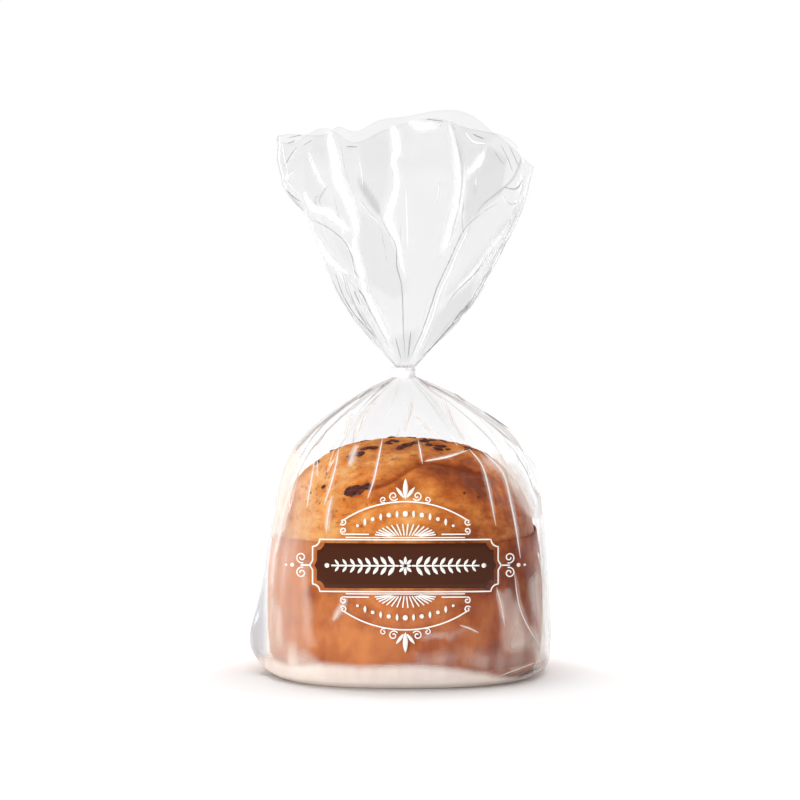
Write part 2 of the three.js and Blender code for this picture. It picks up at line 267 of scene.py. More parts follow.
# The pale band where the bottom's plies show in front: its upper edge.
BAND_EDGE = (
    (-76, 8), (-66, 5), (-48, 5.7), (-25, 4.2), (7.4, 5.2), (29.6, 2.9), (45, 0), (57.5, -3), (70, -5),
)
# The edge where the risen dome has torn away from the smooth side.
TEAR_EDGE = ((-19.2, 104.3), (-9.6, 107.1), (-5.1, 109.4), (-0.3, 112.7), (6.2, 116.7), (10.7, 118.4),
             (16.3, 118.9), (24, 117.5), (32.4, 114.7), (38.9, 112.7), (50, 109))
# The pieces of chocolate that show in front: across, up, length, height, tilt in degrees.
FRONT_CHUNKS = (
    (-17.6, 125.2, 8.6, 4.2, -6), (-22.6, 124.6, 5.6, 2.8, 10), (-25.6, 121.8, 8.4, 4.2, 10),
    (-30.8, 120.2, 6.4, 3.2, 4), (-2.6, 125.2, 7.2, 5.4, 40), (1.8, 127, 7.0, 4.2, -8),
    (6.4, 128, 4.0, 2.2, 0), (-9, 128.4, 5.0, 2.0, 4),
    (13.4, 127, 6.8, 3.4, -30), (18.6, 124.6, 6.8, 3.2, -34), (24, 124.4, 4.0, 1.8, -12),
    (-30, 101.2, 8.6, 6.6, 24), (-25.6, 102.6, 8.2, 7.0, -20), (-21.2, 104.2, 6.2, 4.4, 10),
    (-45.6, 103.6, 4.2, 2.6, 40), (-52.8, 100.2, 1.8, 1.6, 0), (-13, 75.5, 2.8, 1.8, 0),
    (-18.5, 74.6, 2.2, 1.6, 0), (33, 100.5, 1.8, 1.2, 0), (41, 98, 1.6, 1.2, 0),
)
# Where chocolate has stained the paper case in front: across, up, reach, strength.
CASE_STAINS = ((-52.4, 46.8, 5.0, 0.9), (-10.8, 37.5, 2.4, 0.5), (4, 44, 3.0, 0.3))
PRINT_MIDDLE = (0.2, 60.3)
# The plaque and the line round it: half its width, half its height, its corners' scoop, and its ends' point.
PLAQUE = (49.0, 12.4, 4.0, 1.4)
KEYLINE = (51.4, 14.4, 4.0, 1.6)
# The ornament's scrolls: their middle, radius, start, turns, and share of the line's width.
SCROLLS = (
    ((34.4, 24.2), 1.9, -0.6, -1.15, 0.9),
    ((34.2, 19.3), 1.9, -1.6, 1.2, 0.9),
    ((6.6, 38.6), 2.7, -2.6, 1.3, 0.9),
    ((12.2, 36.6), 1.9, -2.2, 1.2, 0.8),
    ((57.6, 4.2), 3.1, -1.9, 1.35, 0.9),
)


# ---- Small tools ----


def smoothstep(low, high, x):
    """Rises smoothly from 0 at low to 1 at high."""
    t = np.clip((x - low) / (high - low), 0, 1)
    return t * t * (3 - 2 * t)


def plateau(x, start, full, wane, end):
    """Rises from 0 to 1 between start and full, and falls back to 0 between wane and end."""
    return smoothstep(start, full, x) * (1 - smoothstep(wane, end, x))


def hump(x, width):
    """A bell curve: 1 at 0, and about a third a width away."""
    return np.exp(-((x / width) ** 2))


def angle_between(a, b):
    """How far angle a is past angle b, the shorter way round."""
    return (a - b + math.pi) % (2 * math.pi) - math.pi


def along_spline(points, t):
    """Points at shares t of a Catmull-Rom curve through the given points."""
    last = len(points) - 1
    t = np.asarray(t, float) * last
    i = np.minimum(t.astype(int), last - 1)
    w = (t - i)[..., None]
    p0, p1 = points[np.maximum(i - 1, 0)], points[i]
    p2, p3 = points[i + 1], points[np.minimum(i + 2, last)]
    v0, v1 = (p2 - p0) / 2, (p3 - p1) / 2
    return (2 * (p1 - p2) + v0 + v1) * w**3 + (3 * (p2 - p1) - 2 * v0 - v1) * w**2 + v0 * w + p1


def even_shares(points, count):
    """Shares of a spline at even steps of its length."""
    fine = np.linspace(0, 1, 2000)
    steps = np.linalg.norm(np.diff(along_spline(points, fine), axis=0), axis=1)
    length = np.concatenate([[0], np.cumsum(steps)])
    return np.interp(np.linspace(0, length[-1], count), length, fine)


def even_curve(path, step=1.0):
    """Points about a step apart on a smooth curve through a path."""
    path = np.asarray(path, float)
    length = np.linalg.norm(np.diff(path, axis=0), axis=1).sum()
    return along_spline(path, even_shares(path, max(6, int(length / step) + 1)))


def even_steps(path, step, closed=False):
    """Points about a step apart along straight runs, with the path's own corners kept."""
    path = [np.asarray(point, float) for point in path]
    if closed:
        path.append(path[0])
    points = [path[0]]
    for start, end in zip(path[:-1], path[1:]):
        count = max(1, round(float(np.linalg.norm(end - start)) / step))
        points += [start + (end - start) * k / count for k in range(1, count + 1)]
    return np.array(points)


def path_distance(u, w, path):
    """How far each point (u, w) lies from a path, and where along it, from 0 to 1."""
    path = np.asarray(path, float)
    steps = np.linalg.norm(np.diff(path, axis=0), axis=1)
    reached = np.concatenate([[0], np.cumsum(steps)])
    best = np.full(u.shape, np.inf)
    where = np.zeros(u.shape)
    for start, end, length, before in zip(path[:-1], path[1:], steps, reached):
        du, dw = end - start
        t = np.clip(((u - start[0]) * du + (w - start[1]) * dw) / length**2, 0, 1)
        distance = np.hypot(u - start[0] - t * du, w - start[1] - t * dw)
        nearer = distance < best
        best = np.where(nearer, distance, best)
        where = np.where(nearer, (before + t * length) / reached[-1], where)
    return best, where


def inside_outline(u, w, outline, softness):
    """1 inside an outline and 0 outside it, with a soft edge."""
    path = np.array(outline + outline[:1], float)
    inside = np.zeros(u.shape, bool)
    for (u0, w0), (u1, w1) in zip(path[:-1], path[1:]):
        if w0 != w1:
            inside ^= ((w0 > w) != (w1 > w)) & (u < (u1 - u0) * (w - w0) / (w1 - w0) + u0)
    distance, _ = path_distance(u, w, path)
    return smoothstep(-softness, softness, np.where(inside, distance, -distance))


def grain(points, size, octaves=3, shift=0.0):
    """Fractal noise from about -1 to 1, whose largest grains are the given size."""
    return np.array([noise.fractal(Vector(place), 0.9, 2.0, octaves) for place in points / size + shift])


def linear(hex_colour):
    """An sRGB hex colour as a linear RGBA one."""
    channels = [int(hex_colour[i:i + 2], 16) / 255 for i in (1, 3, 5)]
    return [c / 12.92 if c <= 0.04045 else ((c + 0.055) / 1.055) ** 2.4 for c in channels] + [1.0]


def view_place(points):
    """Where points show from the front, across and up, in millimetres."""
    return points[:, 0] / MM, points @ np.array(UP_AXIS) / MM


# ---- Mesh tools ----


def select_only(*pieces):
    bpy.ops.object.select_all(action="DESELECT")
    for piece in pieces:
        piece.select_set(True)
    bpy.context.view_layer.objects.active = pieces[0]


def points_of(piece):
    flat = np.empty(3 * len(piece.data.vertices), np.float32)
    piece.data.vertices.foreach_get("co", flat)
    return flat.reshape(-1, 3).astype(float)


def normals_of(piece):
    flat = np.empty(3 * len(piece.data.vertices), np.float32)
    piece.data.vertex_normals.foreach_get("vector", flat)
    return flat.reshape(-1, 3).astype(float)


def move_points(piece, points):
    piece.data.vertices.foreach_set("co", np.ascontiguousarray(points, np.float32).ravel())
    piece.data.update()


def set_attribute(piece, name, values):
    values = np.broadcast_to(np.asarray(values, np.float32), (len(piece.data.vertices),))
    attribute = piece.data.attributes.new(name, "FLOAT", "POINT")
    attribute.data.foreach_set("value", np.ascontiguousarray(values))


def grid_piece(name, columns, rows):
    """A flat grid whose points run from 0 to 1 in x and y."""
    bpy.ops.object.select_all(action="DESELECT")
    bpy.ops.mesh.primitive_grid_add(x_subdivisions=columns, y_subdivisions=rows, size=1)
    piece = bpy.context.object
    piece.name = piece.data.name = name
    move_points(piece, points_of(piece) + np.array([0.5, 0.5, 0]))
    return piece


def ring_piece(name, outline, columns, close=True):
    """A round form: a ring at the outline's first radius and height, extruded to each of the others."""
    bpy.ops.object.select_all(action="DESELECT")
    (radius, height), *others = outline
    bpy.ops.mesh.primitive_circle_add(
        vertices=columns, radius=radius, fill_type="TRIFAN" if close else "NOTHING", location=(0, 0, height)
    )
    piece = bpy.context.object
    piece.name = piece.data.name = name
    bpy.ops.object.transform_apply(location=True, rotation=True, scale=True)
    bpy.ops.object.mode_set(mode="EDIT")
    bpy.ops.mesh.select_mode(type="EDGE")
    bpy.ops.mesh.select_all(action="DESELECT")
    bpy.ops.mesh.select_non_manifold()
    for new_radius, new_height in others:
        rise = (0, 0, new_height - height)
        bpy.ops.mesh.extrude_edges_move(TRANSFORM_OT_translate={"value": rise})
        share = new_radius / radius
        bpy.ops.transform.resize(value=(share, share, 1), center_override=(0, 0, new_height))
        radius, height = new_radius, new_height
    if close:
        bpy.ops.mesh.edge_face_add()
        bpy.ops.mesh.poke()
    bpy.ops.mesh.select_mode(type="VERT")
    bpy.ops.mesh.select_all(action="SELECT")
    bpy.ops.mesh.normals_make_consistent(inside=False)
    bpy.ops.object.mode_set(mode="OBJECT")
    return piece


def close_seam(piece):
    """Merges the points that meet along a wrapped grid's seam and poles, and turns its faces outwards."""
    select_only(piece)
    bpy.ops.object.mode_set(mode="EDIT")
    bpy.ops.mesh.select_all(action="SELECT")
    bpy.ops.mesh.remove_doubles(threshold=0.02 * MM)
    bpy.ops.mesh.normals_make_consistent(inside=False)
    bpy.ops.object.mode_set(mode="OBJECT")


def select_faces(piece, wanted):
    """Opens a piece in edit mode with those faces selected for which wanted holds true."""
    select_only(piece)
    bpy.ops.object.mode_set(mode="EDIT")
    bpy.ops.mesh.select_mode(type="FACE")
    bpy.ops.mesh.select_all(action="DESELECT")
    bpy.ops.object.mode_set(mode="OBJECT")
    for face in piece.data.polygons:
        face.select = wanted(face)
    bpy.ops.object.mode_set(mode="EDIT")


def apply_modifier(piece, name, kind, **settings):
    """Adds a modifier with its settings and applies it."""
    select_only(piece)
    modifier = piece.modifiers.new(name, kind)
    for key, value in settings.items():
        setattr(modifier, key, value)
    bpy.ops.object.modifier_apply(modifier=modifier.name)


def join_pieces(pieces, name):
    select_only(*pieces)
    if len(pieces) > 1:
        bpy.ops.object.join()
    pieces[0].name = pieces[0].data.name = name
    return pieces[0]


def finish_piece(piece, material):
    """Puts a piece's object at the origin, gives it its material and slot, and lets it ride on the part."""
    select_only(piece)
    bpy.ops.object.transform_apply(location=True, rotation=True, scale=True)
    bpy.ops.object.shade_smooth()
    piece.data.materials.clear()
    piece.data.materials.append(material)
    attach(piece, BODY)


def surface_tree(piece):
    corners = [vertex.co for vertex in piece.data.vertices]
    return BVHTree.FromPolygons(corners, [tuple(face.vertices) for face in piece.data.polygons])


def front_view(piece, edge_on, facing):
    """A piece's points and normals, where they show from the front, and 1 for those that face the front."""
    points, normals = points_of(piece), normals_of(piece)
    across, up = view_place(points)
    return points, normals, across, up, smoothstep(edge_on, facing, -normals[:, 1])


# ---- Materials ----


def add_node(tree, kind, settings=(), **inputs):
    """Adds a shader node with its settings, and gives each input a value or a link.

    An input called iN is the node's input number N. A node as a value stands for its first output.
    """
    new = tree.nodes.new("ShaderNode" + kind)
    for key, value in dict(settings).items():
        setattr(new, key, value)
    for key, value in inputs.items():
        socket = new.inputs[int(key[1:])] if key[1:].isdigit() else new.inputs[key.replace("_", " ")]
        if isinstance(value, bpy.types.Node):
            value = value.outputs[0]
        if isinstance(value, bpy.types.NodeSocket):
            tree.links.new(value, socket)
        else:
            socket.default_value = value
    return new


def new_material(name):
    """An empty material, its tree, and the Object coordinates that its patterns read."""
    material = bpy.data.materials.new(name)
    material.use_nodes = True
    tree = material.node_tree
    tree.nodes.clear()
    return material, tree, add_node(tree, "TexCoord").outputs["Object"]


def set_ramp(node, stops):
    """Gives a colour ramp its (place, colour) stops."""
    ramp = node.color_ramp
    while len(ramp.elements) < len(stops):
        ramp.elements.new(0.5)
    for element, (place, colour) in zip(ramp.elements, stops):
        element.position, element.color = place, colour


def film_material(name, settings, milk_and_highlight_colour):
    """Cast polypropylene film: clear and glossy, grey where it is seen edge on, milky in places, white with
    painted highlights along its creases, and dimmed by plies and painted shade along its grey fold lines.
    """
    if name in bpy.data.materials:
        return bpy.data.materials[name]
    material, tree, place = new_material(name)
    # this attribute holds milky film and the painted highlights along creases; the next holds more plies and
    # painted shade along grey fold lines
    haze_and_painted_highlight = add_node(tree, "Attribute", {"attribute_name": "haze_and_painted_highlight"}).outputs["Fac"]
    plies_and_painted_shade = add_node(tree, "Attribute", {"attribute_name": "plies_and_painted_shade"}).outputs["Fac"]
    # faint waves that the film keeps from its rollers, about 6 mm apart
    waves = add_node(tree, "TexNoise", Vector=place, Scale=160.0, Detail=2.0, Roughness=0.5)
    bump = add_node(tree, "Bump", Strength=0.06, Distance=0.4 * MM, Height=waves)
    facing = add_node(tree, "LayerWeight", Blend=0.5, Normal=bump)
    edge = add_node(tree, "Math", {"operation": "POWER"}, i0=facing.outputs["Facing"], i1=6.5)
    shine = add_node(tree, "MapRange", Value=edge, To_Min=0.012, To_Max=0.6)
    clear = add_node(tree, "BsdfTransparent", Color=settings.clear_colour)
    dimmed = add_node(tree, "BsdfTransparent", Color=settings.plies_colour)
    sheer = add_node(tree, "MixShader", i0=plies_and_painted_shade, i1=clear, i2=dimmed)
    gloss = add_node(tree, "BsdfGlossy", Color=settings.gloss_colour, Roughness=0.1, Normal=bump)
    film = add_node(tree, "MixShader", i0=shine, i1=sheer, i2=gloss)
    # half white places, milky film and painted highlights alike, are streaked along the bag, about 8 mm
    # apart, as stretched film is
    along = add_node(tree, "Mapping", Vector=place, Scale=(1.0, 1.0, 0.12))
    streaks = add_node(tree, "TexNoise", Vector=along, Scale=125.0, Detail=4.0)
    uneven = add_node(tree, "MapRange", Value=streaks, From_Min=0.3, From_Max=0.7, To_Min=0.7, To_Max=1.2)
    streaked = add_node(tree, "Math", {"operation": "MULTIPLY"}, i0=haze_and_painted_highlight, i1=uneven)
    milk_and_highlight_share = add_node(tree, "Mix", i0=haze_and_painted_highlight, i2=streaked, i3=haze_and_painted_highlight)
    milk_and_painted_highlight = add_node(tree, "BsdfDiffuse", Color=milk_and_highlight_colour)
    through = add_node(tree, "BsdfTranslucent", Color=milk_and_highlight_colour)
    white = add_node(tree, "MixShader", i0=0.15, i1=milk_and_painted_highlight, i2=through)
    whitened = add_node(tree, "MixShader", i0=milk_and_highlight_share, i1=film, i2=white)
    add_node(tree, "OutputMaterial", Surface=whitened)
    return material


def crust_material(settings):
    """Baked sweet dough: a mottled golden brown skin, faintly greasy, and pitted where it has torn open, with
    painted light on its left and painted shade on its right and under the tear's lip.
    """
    material, tree, place = new_material("baked_dough_crust")
    # this attribute holds the crust's own uneven browning together with painted light and shade: lighter on
    # the left, darker on the right, under the tear's lip and in its groove
    bake_and_painted_light = add_node(tree, "Attribute", {"attribute_name": "bake_and_painted_light"}).outputs["Fac"]
    torn = add_node(tree, "Attribute", {"attribute_name": "torn"}).outputs["Fac"]
    # blotches about 12 mm wide and 7 mm tall, where the dough browned unevenly
    wide = add_node(tree, "Mapping", Vector=place, Scale=(1.0, 1.0, 1.7))
    blotch = add_node(tree, "TexNoise", Vector=wide, Scale=80.0, Detail=7.0, Roughness=0.68)
    spread = add_node(tree, "MapRange", Value=blotch, From_Min=0.3, From_Max=0.7, To_Min=-0.29, To_Max=0.29)
    shade = add_node(tree, "Math", {"operation": "ADD", "use_clamp": True}, i0=bake_and_painted_light, i1=spread)
    colour = add_node(tree, "ValToRGB", Fac=shade)
    set_ramp(colour, [(0.0, settings.light_crust), (0.33, settings.golden_crust),
                      (0.66, settings.brown_crust), (1.0, settings.dark_crust)])
    # pits and freckles of one to three millimetres, deepest where the crust has torn
    pits = add_node(tree, "TexNoise", Vector=wide, Scale=260.0, Detail=5.0, Roughness=0.65)
    dark = add_node(tree, "MapRange", Value=pits, From_Min=0.31, From_Max=0.44, To_Min=0.8, To_Max=0.0)
    pitted = add_node(tree, "Math", {"operation": "MULTIPLY"}, i0=dark, i1=torn)
    tone = add_node(tree, "Mix", {"data_type": "RGBA"}, i0=pitted, i6=colour, i7=settings.pit_colour)
    rough = add_node(tree, "MapRange", Value=pits, To_Min=0.42, To_Max=0.62)
    bump = add_node(tree, "Bump", Strength=0.6, Distance=0.8 * MM, Height=pits)
    shader = add_node(tree, "BsdfPrincipled", Base_Color=tone.outputs[2], Roughness=rough, Normal=bump)
    add_node(tree, "OutputMaterial", Surface=shader)
    return material


def chocolate_material(settings):
    """Baked dark chocolate: purple brown, waxy, greyed where its fat has bloomed."""
    material, tree, place = new_material("dark_chocolate")
    # the bloom lies in specks of about 2.4 mm
    bloom = add_node(tree, "TexNoise", Vector=place, Scale=420.0, Detail=4.0, Roughness=0.65)
    colour = add_node(tree, "ValToRGB", Fac=bloom)
    set_ramp(colour, [(0.35, settings.dark_chocolate), (0.55, settings.melted_chocolate),
                      (0.72, settings.bloomed_chocolate)])
    bump = add_node(tree, "Bump", Strength=0.5, Distance=0.5 * MM, Height=bloom)
    shader = add_node(tree, "BsdfPrincipled", Base_Color=colour, Roughness=0.45, Normal=bump)
    add_node(tree, "OutputMaterial", Surface=shader)
    return material


def paper_material(settings):
    """Brown greaseproof baking paper: thin and matt, darker where butter has seeped in, with painted light on
    its left and painted shade on its right.
    """
    material, tree, place = new_material("brown_baking_paper")
    # this attribute holds the butter's darkening together with painted light and shade: lighter on the left,
    # darker on the right
    soak_and_painted_light = add_node(tree, "Attribute", {"attribute_name": "soak_and_painted_light"}).outputs["Fac"]
    # butter creeps up the flutes in patches of about 20 mm
    along = add_node(tree, "Mapping", Vector=place, Scale=(1.0, 1.0, 0.8))
    creep = add_node(tree, "TexNoise", Vector=along, Scale=50.0, Detail=8.0, Roughness=0.62)
    spread = add_node(tree, "MapRange", Value=creep, From_Min=0.3, From_Max=0.7, To_Min=-0.34, To_Max=0.34)
    soak = add_node(tree, "Math", {"operation": "ADD", "use_clamp": True}, i0=soak_and_painted_light, i1=spread)
    colour = add_node(tree, "ValToRGB", Fac=soak)
    set_ramp(colour, [(0.0, settings.light_paper), (0.65, settings.dark_paper),
                      (1.0, settings.stained_paper)])
    # paper fibres, drawn at 1 mm because the real ones are too fine to show
    fibres = add_node(tree, "TexNoise", Vector=place, Scale=900.0, Detail=2.0)
    bump = add_node(tree, "Bump", Strength=0.2, Distance=0.2 * MM, Height=fibres)
    shader = add_node(tree, "BsdfPrincipled", Base_Color=colour, Roughness=0.6, Normal=bump)
    add_node(tree, "OutputMaterial", Surface=shader)
    return material


def ink_material(name, colour):
    """Gravure ink on film: an even opaque coat, a little less glossy than the film."""
    material, tree, place = new_material(name)
    # its gloss wanders over about 1.4 mm, drawn much coarser than the ink's cells
    coat = add_node(tree, "TexNoise", Vector=place, Scale=700.0, Detail=2.0)
    rough = add_node(tree, "MapRange", Value=coat, To_Min=0.4, To_Max=0.55)
    shader = add_node(tree, "BsdfPrincipled", Base_Color=colour, Roughness=rough)
    shader.inputs["Specular IOR Level"].default_value = 0.3
    add_node(tree, "OutputMaterial", Surface=shader)
    return material


def tape_material(settings):
    """Clear sealing tape wound over itself: whitish, with grey lines where its layers part."""
    material, tree, place = new_material("sealing_tape")
    # lines of trapped air run round the neck, about 1.4 mm apart and 5 mm long
    along = add_node(tree, "Mapping", Vector=place, Scale=(0.3, 0.3, 1.0))
    air = add_node(tree, "TexNoise", Vector=along, Scale=700.0, Detail=3.0)
    colour = add_node(tree, "ValToRGB", Fac=air)
    set_ramp(colour, [(0.32, settings.parted_colour), (0.5, settings.tape_colour)])
    shader = add_node(tree, "BsdfPrincipled", Base_Color=colour, Roughness=0.3)
    add_node(tree, "OutputMaterial", Surface=shader)
    return material


def sweep_material(settings):
    """White seamless background paper: matt, with a faint tooth."""
    material, tree, place = new_material("white_background_paper")
    # its tooth is too fine to show, so its gloss wanders over 33 mm
    tooth = add_node(tree, "TexNoise", Vector=place, Scale=30.0, Detail=2.0)
    rough = add_node(tree, "MapRange", Value=tooth, To_Min=0.85, To_Max=0.95)
    shader = add_node(tree, "BsdfPrincipled", Base_Color=settings.floor_colour, Roughness=rough)
    shader.inputs["Specular IOR Level"].default_value = 0.0
    add_node(tree, "OutputMaterial", Surface=shader)
    return material


# ---- The film's shape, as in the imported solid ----


def pleat_wave(angle):
    """The gathers round the neck, from -1 in a valley to about 1 on a ridge."""
    phase = PLEAT_COUNT * angle + 1.3 * np.sin(2 * angle) + 0.8 * np.sin(3 * angle + 1)
    strength = 0.75 + 0.25 * np.sin(5 * angle + 2)
    return strength * (np.cos(phase) + 0.25 * np.cos(2 * phase))


def loose_fold(angle, height):
    """How far the film's loose bulges stand out."""
    total = 0
    for fold_angle, middle, depth, spread, up, down in LOOSE_FOLDS:
        reach = np.where(height > middle * MM, up, down) * MM
        fold = depth * MM * hump(angle_between(angle, fold_angle), spread)
        total = total + fold * hump(height - middle * MM, reach)
    return total


def body_point(angle, share, pleat_depth):
    """The sealed part's film at an angle and a share of its side profile."""
    half_width, height = np.moveaxis(along_spline(SIDE_PROFILE, share), -1, 0)
    power = 2 / (2 + FOOT_SQUARENESS * (1 - smoothstep(60 * MM, 140 * MM, height)))
    cosine = np.sign(np.cos(angle)) * np.abs(np.cos(angle)) ** power
    sine = np.sign(np.sin(angle)) * np.abs(np.sin(angle)) ** power
    deepest = PLEAT_SHARE_OF_RADIUS * half_width
    depth = np.minimum(pleat_depth * smoothstep(PLEAT_START, PLEAT_FULL, height), deepest)
    lift = smoothstep(0, 6 * MM, height)
    radius = half_width + depth * pleat_wave(angle) + lift * loose_fold(angle, height) - FILM_INSET
    roundness = smoothstep(110 * MM, NECK_BOTTOM, height)
    depth_share = BAG_DEPTH_SHARE + (1 - BAG_DEPTH_SHARE) * roundness
    shift = SHOULDER_SHIFT * plateau(height, 40 * MM, 100 * MM, 130 * MM, NECK_BOTTOM)
    return np.stack([shift + radius * cosine, depth_share * radius * sine, height], axis=-1)


def ruffle_wave(angle):
    """The mouth's ruffles, from -1 to 1."""
    turn = angle - RUFFLE_RIDGE
    return np.cos(RUFFLE_COUNT * turn + 0.5 * np.sin(2 * turn) + 0.4 * np.sin(3 * turn))


def sharpened(wave):
    """Turns a round wave into nearly flat panels between sharp ridges and valleys."""
    return 0.35 * wave + 0.65 * np.arcsin(0.985 * np.clip(wave, -1, 1)) / (math.pi / 2)


def mouth_point(angle, share):
    """The mouth's film at an angle and a share of its profile."""
    profile_width, profile_height = np.moveaxis(along_spline(MOUTH_PROFILE, share), -1, 0)
    rim_width, rim_middle = MOUTH_PROFILE[-1]
    opened = (profile_width - NECK_RADIUS) / (rim_width - NECK_RADIUS)
    dips = sum(
        depth * MM * hump(angle_between(angle, at), spread) for at, depth, spread in RIM_DIPS + EDGE_DIPS
    )
    rim = rim_middle - dips + RUFFLE_RIM * ruffle_wave(angle)
    height = profile_height * (1 + share * (rim / rim_middle - 1))
    gather = PLEAT_SHARE_OF_RADIUS * NECK_RADIUS * pleat_wave(angle) * (1 - smoothstep(0, 0.3, share))
    half_width = profile_width + gather - FILM_INSET
    half_depth = NECK_RADIUS + gather + (profile_width - NECK_RADIUS) * MOUTH_DEPTH_SHARE - FILM_INSET
    cosine, sine = np.cos(angle), np.sin(angle)
    outward = np.stack([cosine / half_width, sine / half_depth], axis=-1)
    outward = outward / np.linalg.norm(outward, axis=-1, keepdims=True)
    ruffle_width = np.hypot(half_width * sine, half_depth * cosine) / half_width
    bulge = LOBE_DEPTH * hump(angle_between(angle, LOBE_ANGLE), LOBE_SPREAD)
    bulge = bulge * smoothstep(LOBE_START, LOBE_FULL, height)
    push = RUFFLE_DEPTH * ruffle_width * opened * sharpened(ruffle_wave(angle)) + bulge
    x = half_width * cosine + push * outward[..., 0] + MOUTH_LEAN * height
    y = half_depth * sine + push * outward[..., 1]
    return np.stack([x, y, NECK_TOP + height], axis=-1)


def wrapped_angles(u):
    """Angles once round the bag, closer together on the front."""
    turn = 2 * math.pi * u
    return turn + FRONT_CROWDING * (1 - np.cos(turn))


def fold_height(points, folds, front):
    """How far the front's folds move each point outwards, and how white their painted highlight makes it."""
    across, up = view_place(points)
    height, white = np.zeros(len(points)), np.zeros(len(points))
    for ridge, width, whitening, line, path in folds:
        distance, where = path_distance(across, up, path)
        # a fold with a crisp line of its own has little painted highlight beside it
        share = 0.6 if line else 1
        run = plateau(where, 0, 0.12, 0.8, 1) * front
        height += ridge * MM * np.exp(-distance / width) * run
        spread = share * width * (0.25 + 0.6 * np.sin(math.pi * np.clip(where, 0.02, 0.98)))
        white = np.maximum(white, share * whitening * hump(distance, spread) * run)
    return height, white


def random_spots(draw, count, arc, heights, reaches):
    """Places of small folds: how far round the bag and how high they lie, and how far they reach."""
    return [
        (draw.uniform(0, 2 * math.pi) * arc, draw.uniform(*heights), draw.uniform(*reaches))
        for _ in range(count)
    ]


def crumple(s, t, spots, steepness, draw):
    """Small random folds with flat sides, each (middle s, middle t, reach), all in millimetres."""
    height = np.zeros(s.shape)
    for middle_s, middle_t, reach in spots:
        turn = draw.uniform(0, math.pi)
        slope = draw.uniform(0.5, 1) * steepness * draw.choice((-1, 1))
        ds, dt = s - middle_s, t - middle_t
        across_fold = ds * math.cos(turn) + dt * math.sin(turn)
        height += slope * (np.abs(across_fold) - 0.35 * reach) * np.exp(-(ds**2 + dt**2) / reach**2)
    return height


def place_sum(across, up, zones):
    """The sum at each place of zones, each a strength, a soft edge's width and an outline."""
    return sum(strength * inside_outline(across, up, outline, soft) for strength, soft, outline in zones)


# ---- Lines laid on the film ----


def film_hit(tree, start, toward):
    """The point a little in front of the film where a ray meets it, or None."""
    place, normal, _, _ = tree.ray_cast(start, toward)
    if place is None:
        return None
    return place + normal * (LINE_PROUD if normal.dot(toward) < 0 else -LINE_PROUD)


def laid_ribbon(name, tree, sides, ray):
    """A ribbon between two rows of points laid on the film along their rays: its longest unbroken run."""
    runs = [[]]
    for left, right in zip(*sides):
        pair = [film_hit(tree, *ray(*side)) for side in (right, left)]
        broken = None in pair or (pair[0] - pair[1]).length > LINE_STEP
        if broken or (runs[-1] and (pair[0] - runs[-1][-1][0]).length > LINE_STEP):
            runs.append([])
        if not broken:
            runs[-1].append(pair)
    pairs = max(runs, key=len)
    if len(pairs) < 4:
        return None
    ribbon = grid_piece(name, len(pairs) - 1, 1)
    u, v, _ = points_of(ribbon).T
    column, row = np.rint(u * (len(pairs) - 1)).astype(int), np.rint(v).astype(int)
    move_points(ribbon, np.array(pairs)[column, row])
    return ribbon


def ribbon_sides(middle, width):
    """The two long sides of a ribbon of the given width, or widths, round a middle line."""
    ahead = np.gradient(middle, axis=0)
    ahead /= np.linalg.norm(ahead, axis=1, keepdims=True)
    half = np.broadcast_to(np.asarray(width, float), (len(middle),))[:, None] / 2
    left = np.stack([-ahead[:, 1], ahead[:, 0]], axis=1) * half
    return middle + left, middle - left


def tapered(count):
    """Shares of a line's width, thin at its ends."""
    return np.clip(np.sin(math.pi * np.linspace(0, 1, count)), 0.02, 1) ** 0.4


def front_ray(across, up):
    """A ray from the camera's side, in millimetres across and up."""
    return Vector((float(across) * MM, 0, 0)) + float(up) * MM * UP_AXIS - INWARD, INWARD


def side_ray(around, height):
    """A ray towards the bag's axis, from millimetres round the bag and above the floor."""
    out = Vector((math.cos(around / MOUTH_ARC), math.sin(around / MOUTH_ARC), 0))
    return 0.3 * out + Vector((0, 0, float(height) * MM)), -out


def make_fold_lines(name, film, folds, draw, heights, count, settings):
    """The film's sharpest folds as lines, white as painted highlights or grey with more plies and painted
    shade, by the table in front and at random elsewhere.
    """
    tree = surface_tree(film)
    lines = []
    for _, _, _, width, path in folds:
        if width:
            middle = even_curve(path)
            sides = ribbon_sides(middle, 0.75 * abs(width) * tapered(len(middle)))
            lines.append((laid_ribbon(name, tree, sides, front_ray), width > 0, 1.0))
    low, high = heights
    while len(lines) < count:
        around = draw.uniform(0, 2 * math.pi) * MOUTH_ARC
        # the front has its own folds
        if math.sin(around / MOUTH_ARC) < -0.5:
            continue
        start = draw.uniform(low, high)
        reach = draw.uniform(10, 40) * draw.choice((-1, 1))
        drift = draw.uniform(-0.25, 0.25) * reach
        bow = draw.uniform(-3, 3)
        bend = (around + 0.5 * drift + bow, start + 0.5 * reach)
        middle = even_curve([(around, start), bend, (around + drift, start + reach)])
        sides = ribbon_sides(middle, draw.uniform(0.3, 0.7) * tapered(len(middle)))
        lines.append((laid_ribbon(name, tree, sides, side_ray), draw.uniform() < 0.55, 0.35))
    pieces = []
    for ribbon, white, depth in lines:
        if ribbon:
            # a white line is a painted highlight along a crease; a grey line dims the film as more plies do,
            # partly painted shade
            set_attribute(ribbon, "haze_and_painted_highlight", 0.7 if white else 0.0)
            set_attribute(ribbon, "plies_and_painted_shade", 0.0 if white else depth)
            pieces.append(ribbon)
    fold_lines = join_pieces(pieces, name)
    apply_modifier(fold_lines, "thickness", "SOLIDIFY", thickness=0.05 * MM, offset=1)
    finish_piece(fold_lines, film_material("film_of_mouth", settings, settings.crease_highlight_colour))


# ---- The film ----


